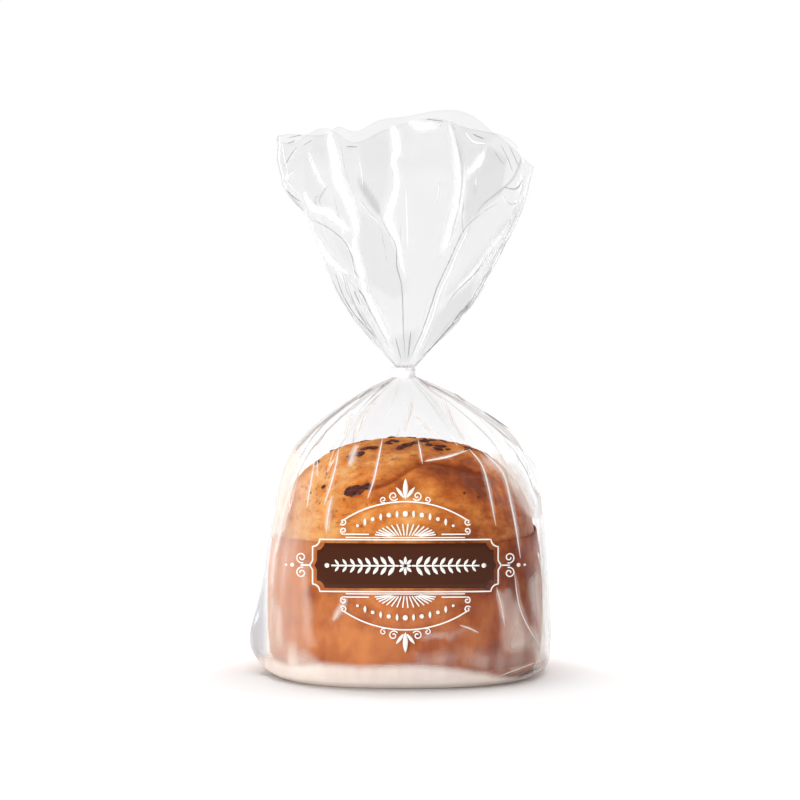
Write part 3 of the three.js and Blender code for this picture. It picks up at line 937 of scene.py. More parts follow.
def body_sheet(settings, columns=256, rows=184, base_rows=12):
    """The sealed part's film before it is creased: a closed base, the sides, and the gathers at the neck."""
    film = grid_piece("body_film", columns, rows)
    u, v, _ = points_of(film).T
    angle = wrapped_angles(u)
    row = np.rint(v * rows).astype(int)
    shares = np.concatenate([np.zeros(base_rows), even_shares(SIDE_PROFILE, rows + 1 - base_rows)])
    points = body_point(angle, shares[row], settings.pleat_depth)
    points[:, :2] *= np.where(row < base_rows, row / base_rows, 1)[:, None]
    # the film climbs on through the tape
    points[:, 2] += np.where(row == rows, 0.5 * (NECK_TOP - NECK_BOTTOM), 0)
    move_points(film, points)
    close_seam(film)
    return film


def body_creases(points, across, up, front):
    """How far the gathers, slack waves and small creases of the sealed part's film stand out."""
    draw = np.random.default_rng(21)
    around = np.arctan2(points[:, 1], points[:, 0]) % (2 * math.pi)
    level = points[:, 2] / MM
    # fine gathers below the neck, and slack waves down the sides
    gather = np.abs(np.sin(0.5 * (31 * around + 2 * np.sin(3 * around) + 1.2 * np.sin(5 * around)))) - 0.6
    height = 0.45 * gather * plateau(level, 112, 146, 158, 166)
    slack = np.cos(11 * around + 0.03 * level) + np.cos(17 * around - 0.02 * level + 1)
    slack += np.cos(23 * around + 4)
    height += 0.22 * slack * plateau(level, 10, 40, 110, 130) * (1 - 0.7 * front)
    spots = random_spots(draw, 90, BODY_ARC, (8, 130), (6, 16))
    smooth = inside_outline(across, up, SMOOTH_FRONT, 8) * front
    wrinkles = crumple(around * BODY_ARC, level, spots, 0.08, draw)
    height += wrinkles * plateau(level, 4, 14, 125, 145) * (1 - smooth)
    return height * MM


def body_haze_and_painted_highlight(points, across, up, front, white):
    """How white the sealed part's film is: milky film, with painted highlights along its folds and over the
    loaf.
    """
    # the film's milk and its painted highlights run in streaks up the bag, with wandering edges
    wander = 3 * grain(points * (1, 1, 0.4), 14 * MM, 3, 4.0)
    streak = grain(points * (1, 1, 0.12), 9 * MM, 2, 8.0)
    milk_and_painted_highlight = place_sum(across + wander, up + 1.5 * wander, BODY_MILK_AND_HIGHLIGHTS) * (1 + 0.7 * streak) * front
    # left of the loaf's foot the film stands off and is clear again
    milk_and_painted_highlight *= smoothstep(-80.5, -77.5, across)
    band = 0.66 * (1 - smoothstep(-3.4, 2.4, up - np.interp(across, *zip(*BAND_EDGE)))) * front
    return np.maximum(white + milk_and_painted_highlight, band + 0.3 * milk_and_painted_highlight)


def make_body_film(settings):
    """The film of the sealed part, with its folds, creases, milky zones and painted highlights."""
    film = body_sheet(settings)
    points, normals, across, up, front = front_view(film, *FILM_FRONT)
    level = points[:, 2] / MM
    height, white = fold_height(points, BODY_FOLDS, front)
    height += body_creases(points, across, up, front)
    height *= smoothstep(2, 12, level)
    move_points(film, points + normals * height[:, None])
    haze_and_painted_highlight = settings.milk_and_highlight_share * body_haze_and_painted_highlight(points, across, up, front, white)
    # the bottom's folded plies are as milky all over
    haze_and_painted_highlight += 0.5 * (1 - smoothstep(1.5, 6, level))
    set_attribute(film, "haze_and_painted_highlight", np.clip(haze_and_painted_highlight, 0, 0.85))
    set_attribute(film, "plies_and_painted_shade", np.clip(0.55 * place_sum(across, up, BODY_PLIES) * front, 0, 1))
    apply_modifier(film, "thickness", "SOLIDIFY", thickness=settings.thickness, offset=-1)
    finish_piece(film, film_material("film_round_loaf", settings, settings.milk_and_highlight_colour))
    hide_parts("bag")


def mouth_sheet(columns=256, rows=180):
    """The mouth's film before it is creased, with the attribute rim along its edge."""
    film = grid_piece("mouth_film", columns, rows)
    u, v, _ = points_of(film).T
    shares = even_shares(MOUTH_PROFILE, rows + 1)
    points = mouth_point(wrapped_angles(u), shares[np.rint(v * rows).astype(int)])
    # the film climbs on out of the tape, and its foot is drawn down to the tape's top edge
    points[:, 2] -= 1.2 * MM * (1 - smoothstep(0, 16 * MM, points[:, 2] - NECK_TOP))
    points[:, 2] -= np.where(v < 0.5 / rows, 0.5 * (NECK_TOP - NECK_BOTTOM), 0)
    move_points(film, points)
    set_attribute(film, "rim", smoothstep(1 - 2.2 / rows, 1 - 0.8 / rows, v))
    close_seam(film)
    return film


def make_mouth_film(settings):
    """The film of the mouth, flared above the tie and crushed where it was held."""
    draw = np.random.default_rng(5)
    film = mouth_sheet()
    rim = np.empty(len(film.data.vertices), np.float32)
    film.data.attributes["rim"].data.foreach_get("value", rim)
    points, normals, across, up, front = front_view(film, *FILM_FRONT)
    around = np.arctan2(points[:, 1] / MOUTH_DEPTH_SHARE, points[:, 0]) % (2 * math.pi)
    level = (points[:, 2] - NECK_TOP) / MM
    height, white = fold_height(points, MOUTH_FOLDS, front)
    spots = random_spots(draw, 110, MOUTH_ARC, (20, 140), (6, 18))
    for angle, spread, heights in CRUSHED:
        spots += [
            (draw.normal(angle, spread) * MOUTH_ARC, draw.uniform(*heights), draw.uniform(3, 8))
            for _ in range(30)
        ]
    height += crumple(around * MOUTH_ARC, level, spots, 0.16, draw) * MM * smoothstep(8, 40, level)
    height *= smoothstep(0, 12, level)
    gather = np.abs(np.sin(0.5 * (27 * around + 2 * np.sin(2 * around) + 1.5 * np.sin(5 * around)))) - 0.6
    gather *= (0.25 + 0.95 * smoothstep(4, 22, level)) * smoothstep(-1, 2, level)
    height += MM * gather * (1 - smoothstep(40, 85, level))
    move_points(film, points + normals * height[:, None])
    # the mouth's edge shows as a faint line, and the film behind it as grey as in front
    plies_and_painted_shade = place_sum(across, up, MOUTH_PLIES) * front + 0.12 * rim
    plies_and_painted_shade += 0.12 * (1 - front) * smoothstep(100, 116, level)
    # the gathers are milky where they enter the tape
    white = np.maximum(white, 0.5 * (1 - smoothstep(-1, 0.6, level)))
    set_attribute(film, "haze_and_painted_highlight", np.clip(settings.milk_and_highlight_share * white, 0, 0.9))
    set_attribute(film, "plies_and_painted_shade", np.clip(0.55 * plies_and_painted_shade, 0, 1))
    apply_modifier(film, "thickness", "SOLIDIFY", thickness=settings.thickness, offset=-1)
    finish_piece(film, film_material("film_of_mouth", settings, settings.crease_highlight_colour))


# ---- The loaf ----


def make_loaf(settings, rings=26, columns=48):
    """The loaf: a round body drawn up ring by ring, smoothed, then torn and dented like a baked crust."""
    loaf = ring_piece("loaf", along_spline(LOAF_PROFILE, even_shares(LOAF_PROFILE, rings)), columns)
    apply_modifier(loaf, "smoothing", "SUBSURF", levels=3, render_levels=3)
    points, normals, across, up, front = front_view(loaf, 0, 0.3)
    dome = smoothstep(80 * MM, 104 * MM, points[:, 2])
    above = up - np.interp(across, *zip(*TEAR_EDGE))
    torn_left = (1 - smoothstep(-26, -12, across)) * smoothstep(70, 92, up)
    torn_front = np.maximum(smoothstep(-0.8, 0.8, above), torn_left)
    torn_back = smoothstep(100 * MM, 106 * MM, points[:, 2] + 6 * MM * grain(points, 40 * MM, 2, 7.0))
    torn = front * torn_front + (1 - front) * torn_back
    along_edge = front * plateau(across, -24, -14, 40, 52)
    lip = np.exp(-np.abs(above - 1.2) / 2.4) * along_edge
    groove = hump(above + 1.0, 1.1) * along_edge
    lumps = 1.4 * grain(points, 34 * MM, 2) + 0.7 * grain(points, 13 * MM, 3, 3.0)
    crumb = 0.5 * grain(points, 4.5 * MM, 3, 5.0)
    height = (lumps + torn * crumb) * (0.1 + 0.9 * dome) + 1.3 * lip - 1.2 * groove
    move_points(loaf, points + normals * (settings.relief * MM * height)[:, None])
    places = chunk_places(surface_tree(loaf), settings.chunk_count)
    points = points_of(loaf)
    near = np.zeros(len(points))
    for place, _, length, _, _ in places:
        distance = np.linalg.norm(points - np.array(place), axis=1)
        near = np.maximum(near, hump(distance, 0.62 * length) * min(1, length / (6 * MM)))
    # the chocolate weighs the crust down round it
    move_points(loaf, points - normals * (near * MM)[:, None])
    # painted light and shade: palest on the left, golden in the middle, browner to the right, and darker in
    # painted shade under the tear's lip and in its groove; darker too round the chunks
    bake_and_painted_light = 0.26 - 0.24 * smoothstep(-26, -60, across) + 0.34 * smoothstep(-2, 40, across) * (1 - 0.4 * torn)
    bake_and_painted_light += 0.4 * hump(above + 6, 7) * along_edge + 0.06 * torn + 0.25 * near + 0.3 * groove
    bake_and_painted_light += 0.1 * grain(points, 26 * MM, 2, 11.0) + 0.1 * torn * grain(points, 5 * MM, 2, 2.0)
    set_attribute(loaf, "bake_and_painted_light", np.clip(bake_and_painted_light, 0, 1))
    set_attribute(loaf, "torn", np.clip(0.15 + 0.85 * torn + 0.4 * near, 0, 1))
    finish_piece(loaf, crust_material(settings))


def chunk_places(loaf_tree, count):
    """Where chocolate lies on the loaf: point, normal, length, height and tilt."""
    draw = np.random.default_rng(7)
    places = []
    for across, up, length, height, tilt in FRONT_CHUNKS:
        point, normal, _, _ = loaf_tree.ray_cast(*front_ray(across, up))
        if point:
            places.append((point, normal, length * MM, height * MM, math.radians(tilt)))
    while len(places) < count:
        angle, rise, length, height, tilt = draw.uniform((0, 0.3, 3, 2, -0.6), (2 * math.pi, 1.5, 10, 5, 0.6))
        out = Vector((math.cos(angle) * math.cos(rise), math.sin(angle) * math.cos(rise), math.sin(rise)))
        point, normal, _, _ = loaf_tree.ray_cast(Vector((0, 0, 0.06)) + 0.3 * out, -out)
        if point and point.z > 0.08 and point.y > -0.012:
            places.append((point, normal, length * MM, height * MM, tilt))
    return places


def make_chocolate(settings, loaf):
    """Chunks of chocolate: lumpy balls pressed flat and sunk to their middles in the crust."""
    places = chunk_places(surface_tree(loaf), settings.chunk_count)
    lumps = bpy.data.textures.new("chunk_lumps", "CLOUDS")
    lumps.noise_scale = 0.55
    lumps.noise_depth = 4
    pieces = []
    for number, (place, normal, length, height, tilt) in enumerate(places):
        bpy.ops.object.select_all(action="DESELECT")
        bpy.ops.mesh.primitive_ico_sphere_add(subdivisions=4 if length > 5 * MM else 3, radius=1)
        piece = bpy.context.object
        # each chunk meets the lumps at a place of its own
        move_points(piece, points_of(piece) + 5.0 * number)
        apply_modifier(piece, "lumps", "DISPLACE", texture=lumps, texture_coords="LOCAL", strength=0.9)
        move_points(piece, points_of(piece) - 5.0 * number)
        side = Vector((0, 0, 1)).cross(normal)
        side = side.normalized() if side.length > 0.05 else Vector((1, 0, 0))
        raised = np.array(normal.cross(side))
        along = math.cos(tilt) * np.array(side) + math.sin(tilt) * raised
        raised = math.cos(tilt) * raised - math.sin(tilt) * np.array(side)
        axes = np.stack([along, raised, np.array(normal)])
        lengths = np.array([length / 2, height / 2, 0.8 * MM + 0.06 * length])
        move_points(piece, points_of(piece) * lengths @ axes + np.array(place) - np.array(normal) * 0.3 * MM)
        pieces.append(piece)
    chunks = join_pieces(pieces, "chocolate_chunks")
    finish_piece(chunks, chocolate_material(settings))


def make_baking_case(settings, flutes=120):
    """The paper case the loaf was baked in: a tall ring, faintly fluted, its top edge a little uneven."""
    foot, top = 1.0 * MM, settings.case_height
    heights = np.linspace(foot, top, 9)
    side = along_spline(LOAF_PROFILE, np.linspace(0, 1, 600))
    side = side[(side[:, 0] > 70 * MM) & (side[:, 1] < 100 * MM)]
    widths = np.interp(heights, side[:, 1], side[:, 0]) + 0.95 * MM
    case = ring_piece("baking_case", list(zip(widths, heights)), 2 * flutes, close=False)
    points, normals = points_of(case), normals_of(case)
    angle = np.arctan2(points[:, 1], points[:, 0])
    rise = (points[:, 2] - foot) / (top - foot)
    flute = 0.28 * MM * np.cos(flutes * angle) * smoothstep(0.05, 0.3, rise)
    points[:, :2] *= (1 + flute / np.hypot(points[:, 0], points[:, 1]))[:, None]
    points[:, 2] += rise**6 * (0.7 * MM * np.sin(3 * angle + 1) + 0.5 * MM * np.sin(7 * angle))
    move_points(case, points)
    across, up = view_place(points)
    front = smoothstep(0, 0.3, -normals[:, 1])
    # painted light and shade: the case is lighter on the left and darker on the right; the stains are
    # chocolate
    soak_and_painted_light = 0.3 + 0.26 * smoothstep(-10, 55, across) - 0.3 * smoothstep(-26, -60, across)
    for at, height, reach, strength in CASE_STAINS:
        soak_and_painted_light += strength * hump(np.hypot(across - at, up - height), reach) * front
    set_attribute(case, "soak_and_painted_light", np.clip(soak_and_painted_light, 0, 1))
    apply_modifier(case, "thickness", "SOLIDIFY", thickness=0.15 * MM, offset=-1)
    finish_piece(case, paper_material(settings))


# ---- The print ----


def flat_ribbon(middle, width):
    """A printed line in the print's own upright plane, in millimetres."""
    left, right = ribbon_sides(np.asarray(middle, float), width)
    ribbon = grid_piece("line", len(left) - 1, 1)
    u, v, _ = points_of(ribbon).T
    column = np.rint(u * (len(left) - 1)).astype(int)
    flat = np.where((v < 0.5)[:, None], right[column], left[column]) * MM
    move_points(ribbon, np.stack([flat[:, 0], np.zeros(len(flat)), flat[:, 1]], axis=1))
    return ribbon


def flat_line(start, end, width, step=0.9):
    """A straight printed line, with points close enough to follow the film."""
    return flat_ribbon(even_steps([start, end], step), width)


def flat_disc(across, up, radius):
    bpy.ops.object.select_all(action="DESELECT")
    bpy.ops.mesh.primitive_circle_add(
        vertices=16, radius=radius * MM, fill_type="TRIFAN", location=(across * MM, 0, up * MM),
        rotation=(math.pi / 2, 0, 0),
    )
    bpy.ops.object.transform_apply(location=True, rotation=True, scale=True)
    return bpy.context.object


def flat_leaf(foot, tip, width):
    """A pointed leaf: a line that swells and closes again."""
    share = np.linspace(0, 1, 10)
    middle = np.array(foot) + share[:, None] * (np.array(tip) - np.array(foot))
    return flat_ribbon(middle, width * np.sin(math.pi * share) ** 0.8 + 0.05)


def scroll(middle, radius, start, turns, steps=36):
    """A line that curls inwards from a radius."""
    share = np.linspace(0, 1, steps)
    turn = start + turns * 2 * math.pi * share
    reach = radius * (1 - 0.78 * share)
    return np.stack([middle[0] + reach * np.cos(turn), middle[1] + reach * np.sin(turn)], axis=1)


def label_outline(half_width, half_height, scoop, point):
    """A label's outline with scooped corners and a small point at each end, once round from its right end."""
    turns = np.linspace(0, math.pi / 2, 9)
    corner = [(half_width + point, 0), (half_width, 2.6)]
    corner += [(half_width - scoop * math.sin(t), half_height - scoop * math.cos(t)) for t in turns]
    top = corner + [(-x, y) for x, y in corner[::-1]]
    return top + [(-x, -y) for x, y in top[1:-1]]


def lay_print(flats, name, film, proud, material):
    """Joins flat shapes, lays them on the film in front and gives them a coat's thickness."""
    piece = join_pieces(flats, name)
    across, up = PRINT_MIDDLE
    piece.rotation_euler.x = -CAMERA_ELEVATION
    piece.location = Vector((across * MM, 0, 0)) + up * MM * UP_AXIS - 0.3 * INWARD
    bpy.context.view_layer.update()
    apply_modifier(piece, "wrap", "SHRINKWRAP", target=film, wrap_method="PROJECT", use_project_y=True,
                   use_positive_direction=True, wrap_mode="ABOVE_SURFACE", offset=proud)
    apply_modifier(piece, "coat", "SOLIDIFY", thickness=0.04 * MM, offset=1)
    finish_piece(piece, material)


def make_plaque(settings, film, columns=140, rows=10):
    """The brown plaque: upright columns of faces, each as tall as the label's outline there."""
    half_width, _, _, point = PLAQUE
    quarter = label_outline(*PLAQUE)[:11]
    widths, heights = np.array(quarter[::-1]).T
    # columns close on both sides of the upright edges keep them upright
    ends = (half_width + 0.01, half_width + 0.5 * point, half_width + point)
    inner = np.linspace(-1, 1, columns - 5) * (half_width - 0.01)
    across = np.concatenate([-np.array(ends[::-1]), inner, ends])
    plaque = grid_piece("plaque", columns, rows)
    u, v, _ = points_of(plaque).T
    across = across[np.rint(u * columns).astype(int)]
    top = np.maximum(np.interp(np.abs(across), widths, heights), 0.02)
    move_points(plaque, np.stack([across, 0 * across, (2 * v - 1) * top], axis=1) * MM)
    material = ink_material("brown_ink", settings.plaque_colour)
    lay_print([plaque], "print_plaque", film, 0.3 * MM, material)


def arch(radius, middle_up, start, end, step=0.8):
    """A round line over the print's middle, between two angles in degrees from upright."""
    turn = np.radians(np.arange(start, end, math.degrees(step / radius)))
    return np.stack([radius * np.sin(turn), middle_up + radius * np.cos(turn)], axis=1)


def make_ornament(settings, film):
    """The white ornament: a keyline, leaf sprays, beaded arches, fans and scrolls, a quarter at a time."""
    line = settings.line_width / MM
    quarter = [flat_ribbon(scroll(*shape), share * line) for *shape, share in SCROLLS]
    # the arch and its beads
    quarter.append(flat_ribbon(arch(62, -26.5, 0, 33.5), line))
    for bead in range(1, 7):
        turn = math.radians(4.7 * bead)
        across, up = 56 * math.sin(turn), 56 * math.cos(turn) - 27.2
        if bead % 2 == 0:
            quarter.append(flat_disc(across, up, 1.5 - 0.12 * bead))
        else:
            quarter.append(flat_leaf((across, up - 2), (across, up + 2), 1.5))
    # the fan on the plaque's edge
    for ray in range(8):
        turn = math.radians(5 + 11 * ray)
        across, up = math.sin(turn), math.cos(turn)
        quarter.append(flat_line((8 * across, 16.3 + 0.5 * up), (17 * across, 16.3 + 7 * up), 0.75))
    quarter.append(flat_line((0, 15.6), (33, 15.6), 0.6))
    quarter.append(flat_line((20, 17.4), (34, 17.4), 0.9 * line))
    # the palmette over the arch, and the leaf spray along the plaque
    quarter.append(flat_leaf((0.7, 37.6), (5.2, 43.4), 1.8))
    for step in range(8):
        across, size = 6 + 4.4 * step, 1 - 0.055 * step
        quarter.append(flat_leaf((across, 0.3), (across + 3.5 * size, 5.4 * size), 2.1 * size))
    quarter.append(flat_line((3.5, 0.23), (41, 0.23), 0.45))
    quarter.append(flat_leaf((0.6, 0.6), (3.4, 3.4), 1.6))
    quarter = join_pieces(quarter, "quarter")
    apply_modifier(quarter, "mirror", "MIRROR", use_axis=[True, False, True], merge_threshold=0.01 * MM)
    # what lies on the middle lines
    keyline = even_steps(label_outline(*KEYLINE), 0.8, closed=True)
    whole = [quarter, flat_ribbon(keyline, line)]
    for side in (-1, 1):
        whole.append(flat_leaf((0, side * 36.8), (0, side * 48.2), 2.8))
        whole.append(flat_disc(0, side * 28.8, 1.5))
        whole.append(flat_leaf((0, side * 0.8), (0, side * 5.2), 1.7))
        whole.append(flat_leaf((side * 0.8, 0), (side * 3.4, 0), 1.3))
        whole.append(flat_line((side * 52.4, 0), (side * 58, 0), 0.8, step=0.6))
        whole += [flat_disc(side * at, 0, radius) for at, radius in ((43.4, 1.3), (62.8, 1.1), (66.2, 0.7))]
    material = ink_material("white_ink", settings.ornament_colour)
    lay_print(whole, "print_ornament", film, 0.45 * MM, material)


# ---- The tape ----


def make_tape(settings):
    """The tape round the neck: a ring with a tab, where its two ends are stuck together."""
    tab_angle, radius, tab_reach = math.pi * 1.08, 6.0 * MM, 3.4 * MM
    heights = 0.5 * (NECK_BOTTOM + NECK_TOP) - 0.6 * MM + settings.tape_height * np.linspace(-0.5, 0.5, 5)
    bulged = radius * (1 + 0.035 * np.array([0, 1, 0.3, 1, 0]))
    tape = ring_piece("neck_tape", list(zip(bulged, heights)), 48, close=False)
    out = Vector((math.cos(tab_angle), math.sin(tab_angle), 0))
    aside = [(face.center.xy.normalized() - out.xy).length for face in tape.data.polygons]
    select_faces(tape, lambda face: aside[face.index] < min(aside) + 1e-4)
    for _ in range(3):
        bpy.ops.mesh.extrude_region_move(TRANSFORM_OT_translate={"value": tuple(out * tab_reach / 3)})
    bpy.ops.object.mode_set(mode="OBJECT")
    apply_modifier(tape, "thickness", "SOLIDIFY", thickness=0.25 * MM, offset=-1)
    apply_modifier(tape, "edges", "BEVEL", width=0.06 * MM, segments=2, limit_method="ANGLE")
    finish_piece(tape, tape_material(settings))
    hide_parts("tie")


# ---- Stage ----


def add_lamp(name, kind, place, target, power, size, size_y=None, reflected=True):
    """A lamp that points at its target. One that isn't reflected leaves no bright patch in the film."""
    turn = (Vector(target) - Vector(place)).to_track_quat("-Z", "Y").to_euler()
    bpy.ops.object.light_add(type=kind, location=place, rotation=turn)
    lamp = bpy.context.object
    lamp.name = lamp.data.name = name
    lamp.data.energy = power
    lamp.visible_glossy = reflected
    lamp.visible_camera = False
    if kind == "SUN":
        lamp.data.angle = size
    else:
        lamp.data.shape = "RECTANGLE"
        lamp.data.size = size
        lamp.data.size_y = size_y or size
    return lamp


def make_stage(settings):
    scene = bpy.context.scene
    scene.view_settings.view_transform = "Standard"
    scene.cycles.transparent_max_bounces = 48
    scene.world = bpy.data.worlds.new("studio")
    scene.world.use_nodes = True
    background = scene.world.node_tree.nodes["Background"]
    background.inputs["Color"].default_value = (1, 1, 1, 1)
    background.inputs["Strength"].default_value = settings.room_light

    # a floor wide enough to fill the frame behind the bag, lit evenly by suns
    bpy.ops.object.select_all(action="DESELECT")
    bpy.ops.mesh.primitive_plane_add(size=60, location=(0, 0, -0.1 * MM))
    floor = bpy.context.object
    floor.name = "floor"
    bpy.ops.object.transform_apply(location=True, rotation=True, scale=True)
    bpy.ops.object.mode_set(mode="EDIT")
    bpy.ops.mesh.subdivide(number_cuts=24)
    bpy.ops.object.mode_set(mode="OBJECT")
    floor.data.materials.append(sweep_material(settings))

    middle, soft = (0, 0, 0.12), math.radians(30)
    half = 0.5 * settings.back_light
    for name, side in (("back_left", -1), ("back_right", 1)):
        add_lamp(name, "SUN", (0.5 * side, 0.5, 2.3), middle, half, soft, reflected=False)
    key = add_lamp("key", "SUN", (-1.0, -2.25, 0.4), middle, settings.key_light, soft, reflected=False)
    # the key light is flagged off the floor, so that the shadow at the bag's foot stays deep
    lit = bpy.data.collections.new("lit_by_key")
    for piece in [piece for piece in scene.objects if piece.type == "MESH" and piece is not floor]:
        lit.objects.link(piece)
    key.light_linking.receiver_collection = lit
    add_lamp("strip_left", "AREA", (-1.05, 1.15, 0.45), middle, settings.strip_light, 0.22, 1.1)
    add_lamp("strip_right", "AREA", (1.0, 1.2, 0.4), middle, settings.strip_light, 0.22, 1.1)

    distance, frame_height = 4.0, 0.451
    aim = Vector((-0.0028, 0, 0.1532))
    turn = INWARD.to_track_quat("-Z", "Y").to_euler()
    bpy.ops.object.camera_add(location=aim - distance * INWARD, rotation=turn)
    camera = bpy.context.object
    camera.data.sensor_width = 36
    camera.data.lens = 36 * distance / frame_height
    camera.data.clip_end = 100
    scene.camera = camera


# ---- What a user may change ----


def colour(name, description, default):
    return FloatVectorProperty(
        name=name, description=description, default=linear(default), subtype="COLOR", size=4, min=0, max=1
    )


def length(name, description, default, low, high):
    return FloatProperty(
        name=name, description=description, default=default, min=low, max=high,
        subtype="DISTANCE", unit="LENGTH",
    )


def number(name, description, default, low=0.0, high=10.0):
    return FloatProperty(name=name, description=description, default=default, min=low, max=high)


class LoafSettings(bpy.types.PropertyGroup):
    relief: number("Relief", "How deep the crust's lumps and tears are, against the real ones", 1.0)
    chunk_count: IntProperty(
        name="Chocolate chunks", description="How many chunks lie in the crust", default=64, min=16
    )
    case_height: length("Case height", "Height of the paper case's edge", 79.5 * MM, 20 * MM, 85 * MM)
    # the crust's ramp also carries painted light on the left and painted shade on the right and under the
    # tear's lip
    light_crust: colour("Light crust", "Where the dough stayed palest", "#f3b670")
    golden_crust: colour("Golden crust", "Most of the loaf's side", "#e28a3c")
    brown_crust: colour("Brown crust", "Where it baked longest", "#b4591d")
    dark_crust: colour("Dark crust", "Where it nearly burnt", "#7d340f")
    pit_colour: colour("Pits", "Open pores of the torn crust", "#6d2f10")
    dark_chocolate: colour("Dark chocolate", "Unmelted chocolate", "#32170f")
    melted_chocolate: colour("Melted chocolate", "Chocolate that melted and set again", "#5c2c22")
    bloomed_chocolate: colour("Bloomed chocolate", "Chocolate greyed by its own fat", "#84544a")
    # the paper's ramp also carries painted light on the left and painted shade on the right
    light_paper: colour("Light paper", "Dry paper", "#dd8848")
    dark_paper: colour("Dark paper", "Paper soaked with butter", "#993f12")
    stained_paper: colour("Stained paper", "Where chocolate shows through it", "#4a1e10")


class FilmSettings(bpy.types.PropertyGroup):
    pleat_depth: length("Pleat depth", "Depth of the gathers below the neck", 3 * MM, 0.0, 6 * MM)
    thickness: length("Thickness", "Thickness of the film's shell", 0.12 * MM, 0.05 * MM, 0.5 * MM)
    # the white share and the milky and creased colours serve both milky film and the painted highlights on it
    milk_and_highlight_share: number("Milkiness", "How white the film's creases and milky zones are", 1.0)
    clear_colour: colour("Clear film", "What one face of clear film lets through", "#fcfcfc")
    plies_colour: colour("Film in plies", "What one face lets through where it lies in plies", "#e2e2e4")
    gloss_colour: colour("Gloss", "What the film's surface reflects", "#f3f3f4")
    milk_and_highlight_colour: colour("Milky film", "White of the film where it is milky over the loaf", "#fdf3eb")
    crease_highlight_colour: colour("Creased film", "White of the creases", "#fdfcfc")


class PrintSettings(bpy.types.PropertyGroup):
    line_width: length("Line width", "Width of the ornament's lines", 0.78 * MM, 0.3 * MM, 2 * MM)
    plaque_colour: colour("Plaque", "Brown ink", "#451f0c")
    ornament_colour: colour("Ornament", "White ink", "#f8f5ef")


class TapeSettings(bpy.types.PropertyGroup):
    tape_height: length("Tape height", "Width of the tape round the neck", 5.8 * MM, 3 * MM, 6 * MM)
    tape_colour: colour("Tape", "Where its layers are stuck together", "#fbfbfd")
    parted_colour: colour("Parted layers", "Where air has crept between its layers", "#d8d8de")


class StageSettings(bpy.types.PropertyGroup):
    room_light: number("Room light", "Brightness of the room all round", 0.2)
    key_light: number("Key light", "Irradiance of the soft light from the front left, in W/m2", 2.95)
    back_light: number("Back lights", "Irradiance of the two soft lights from behind, in W/m2", 2.9)
    strip_light: number("Strip lights", "Power of the tall lights in the film, in watts", 5.5, 0.0, 100.0)
    floor_colour: colour("Floor", "The paper that the bag stands on", "#f7f7f7")


# ---- Operators ----


class PANETTONE_OT_loaf(bpy.types.Operator):
    """Bakes the loaf"""

    bl_idname = "panettone.loaf"
    bl_label = "Loaf"

    def execute(self, context):
        make_loaf(context.scene.panettone_loaf)
        return {"FINISHED"}


class PANETTONE_OT_chocolate(bpy.types.Operator):
    """Lays chunks of chocolate in the loaf's crust"""

    bl_idname = "panettone.chocolate"
    bl_label = "Chocolate chunks"

    def execute(self, context):
        make_chocolate(context.scene.panettone_loaf, bpy.data.objects["loaf"])
        return {"FINISHED"}


class PANETTONE_OT_baking_case(bpy.types.Operator):
    """Folds the fluted paper case round the loaf"""

    bl_idname = "panettone.baking_case"
    bl_label = "Baking case"

    def execute(self, context):
        make_baking_case(context.scene.panettone_loaf)
        return {"FINISHED"}


class PANETTONE_OT_body_film(bpy.types.Operator):
    """Wraps the film round the loaf and gathers it into the neck"""

    bl_idname = "panettone.body_film"
    bl_label = "Film round the loaf"

    def execute(self, context):
        make_body_film(context.scene.panettone_film)
        return {"FINISHED"}


class PANETTONE_OT_mouth_film(bpy.types.Operator):
    """Flares the film above the neck"""

    bl_idname = "panettone.mouth_film"
    bl_label = "Film of the mouth"

    def execute(self, context):
        make_mouth_film(context.scene.panettone_film)
        return {"FINISHED"}


class PANETTONE_OT_fold_lines(bpy.types.Operator):
    """Draws the film's sharpest folds, on the body and the mouth"""

    bl_idname = "panettone.fold_lines"
    bl_label = "Sharp folds"

    def execute(self, context):
        settings, draw = context.scene.panettone_film, np.random.default_rng(9)
        body, mouth = bpy.data.objects["body_film"], bpy.data.objects["mouth_film"]
        make_fold_lines("body_folds", body, BODY_FOLDS, draw, (14, 128), 48, settings)
        make_fold_lines("mouth_folds", mouth, MOUTH_FOLDS, draw, (186, 270), 60, settings)
        return {"FINISHED"}


class PANETTONE_OT_print(bpy.types.Operator):
    """Prints the plaque and its ornament on the front"""

    bl_idname = "panettone.print"
    bl_label = "Print"

    def execute(self, context):
        settings, film = context.scene.panettone_print, bpy.data.objects["body_film"]
        make_plaque(settings, film)
        make_ornament(settings, film)
        return {"FINISHED"}


class PANETTONE_OT_tape(bpy.types.Operator):
    """Winds the tape round the neck"""

    bl_idname = "panettone.tape"
    bl_label = "Tape"

    def execute(self, context):
        make_tape(context.scene.panettone_tape)
        return {"FINISHED"}


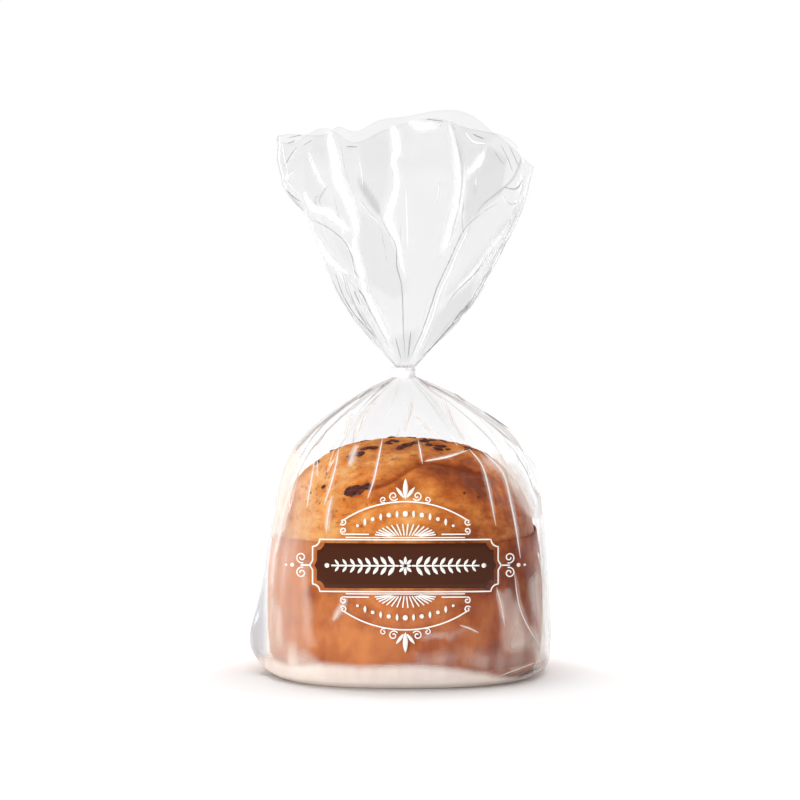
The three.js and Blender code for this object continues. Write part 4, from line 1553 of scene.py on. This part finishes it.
class PANETTONE_OT_stage(bpy.types.Operator):
    """Sets up the floor, the lights and the camera"""

    bl_idname = "panettone.stage"
    bl_label = "Stage"

    def execute(self, context):
        make_stage(context.scene.panettone_stage)
        return {"FINISHED"}


# Each group of settings with its title and the operators that read it, in the order they run.
GROUPS = (
    ("panettone_loaf", "Loaf", LoafSettings,
     (PANETTONE_OT_loaf, PANETTONE_OT_chocolate, PANETTONE_OT_baking_case)),
    ("panettone_film", "Film", FilmSettings,
     (PANETTONE_OT_body_film, PANETTONE_OT_mouth_film, PANETTONE_OT_fold_lines)),
    ("panettone_print", "Print", PrintSettings, (PANETTONE_OT_print,)),
    ("panettone_tape", "Tape", TapeSettings, (PANETTONE_OT_tape,)),
    ("panettone_stage", "Stage", StageSettings, (PANETTONE_OT_stage,)),
)


class PANETTONE_PT_pieces(bpy.types.Panel):
    """Lists the panettone's pieces and the values that shape them"""

    bl_idname = "PANETTONE_PT_pieces"
    bl_label = "Bagged Panettone"
    bl_space_type = "VIEW_3D"
    bl_region_type = "UI"
    bl_category = "Panettone"

    def draw(self, context):
        for attribute, title, settings_class, operators in GROUPS:
            box = self.layout.box()
            box.label(text=title)
            for operator in operators:
                box.operator(operator.bl_idname)
            for name in settings_class.__annotations__:
                box.prop(getattr(context.scene, attribute), name)


def register():
    for attribute, _, settings_class, operators in GROUPS:
        for new_class in (settings_class, *operators):
            bpy.utils.register_class(new_class)
        setattr(bpy.types.Scene, attribute, PointerProperty(type=settings_class))
    bpy.utils.register_class(PANETTONE_PT_pieces)


def unregister():
    bpy.utils.unregister_class(PANETTONE_PT_pieces)
    for attribute, _, settings_class, operators in GROUPS[::-1]:
        delattr(bpy.types.Scene, attribute)
        for old_class in (*operators[::-1], settings_class):
            bpy.utils.unregister_class(old_class)


def main():
    register()
    bpy.ops.panettone.loaf()
    bpy.ops.panettone.chocolate()
    bpy.ops.panettone.baking_case()
    bpy.ops.panettone.body_film()
    bpy.ops.panettone.mouth_film()
    bpy.ops.panettone.fold_lines()
    bpy.ops.panettone.print()
    bpy.ops.panettone.tape()
    bpy.ops.panettone.stage()


if __name__ == "__main__":
    main()
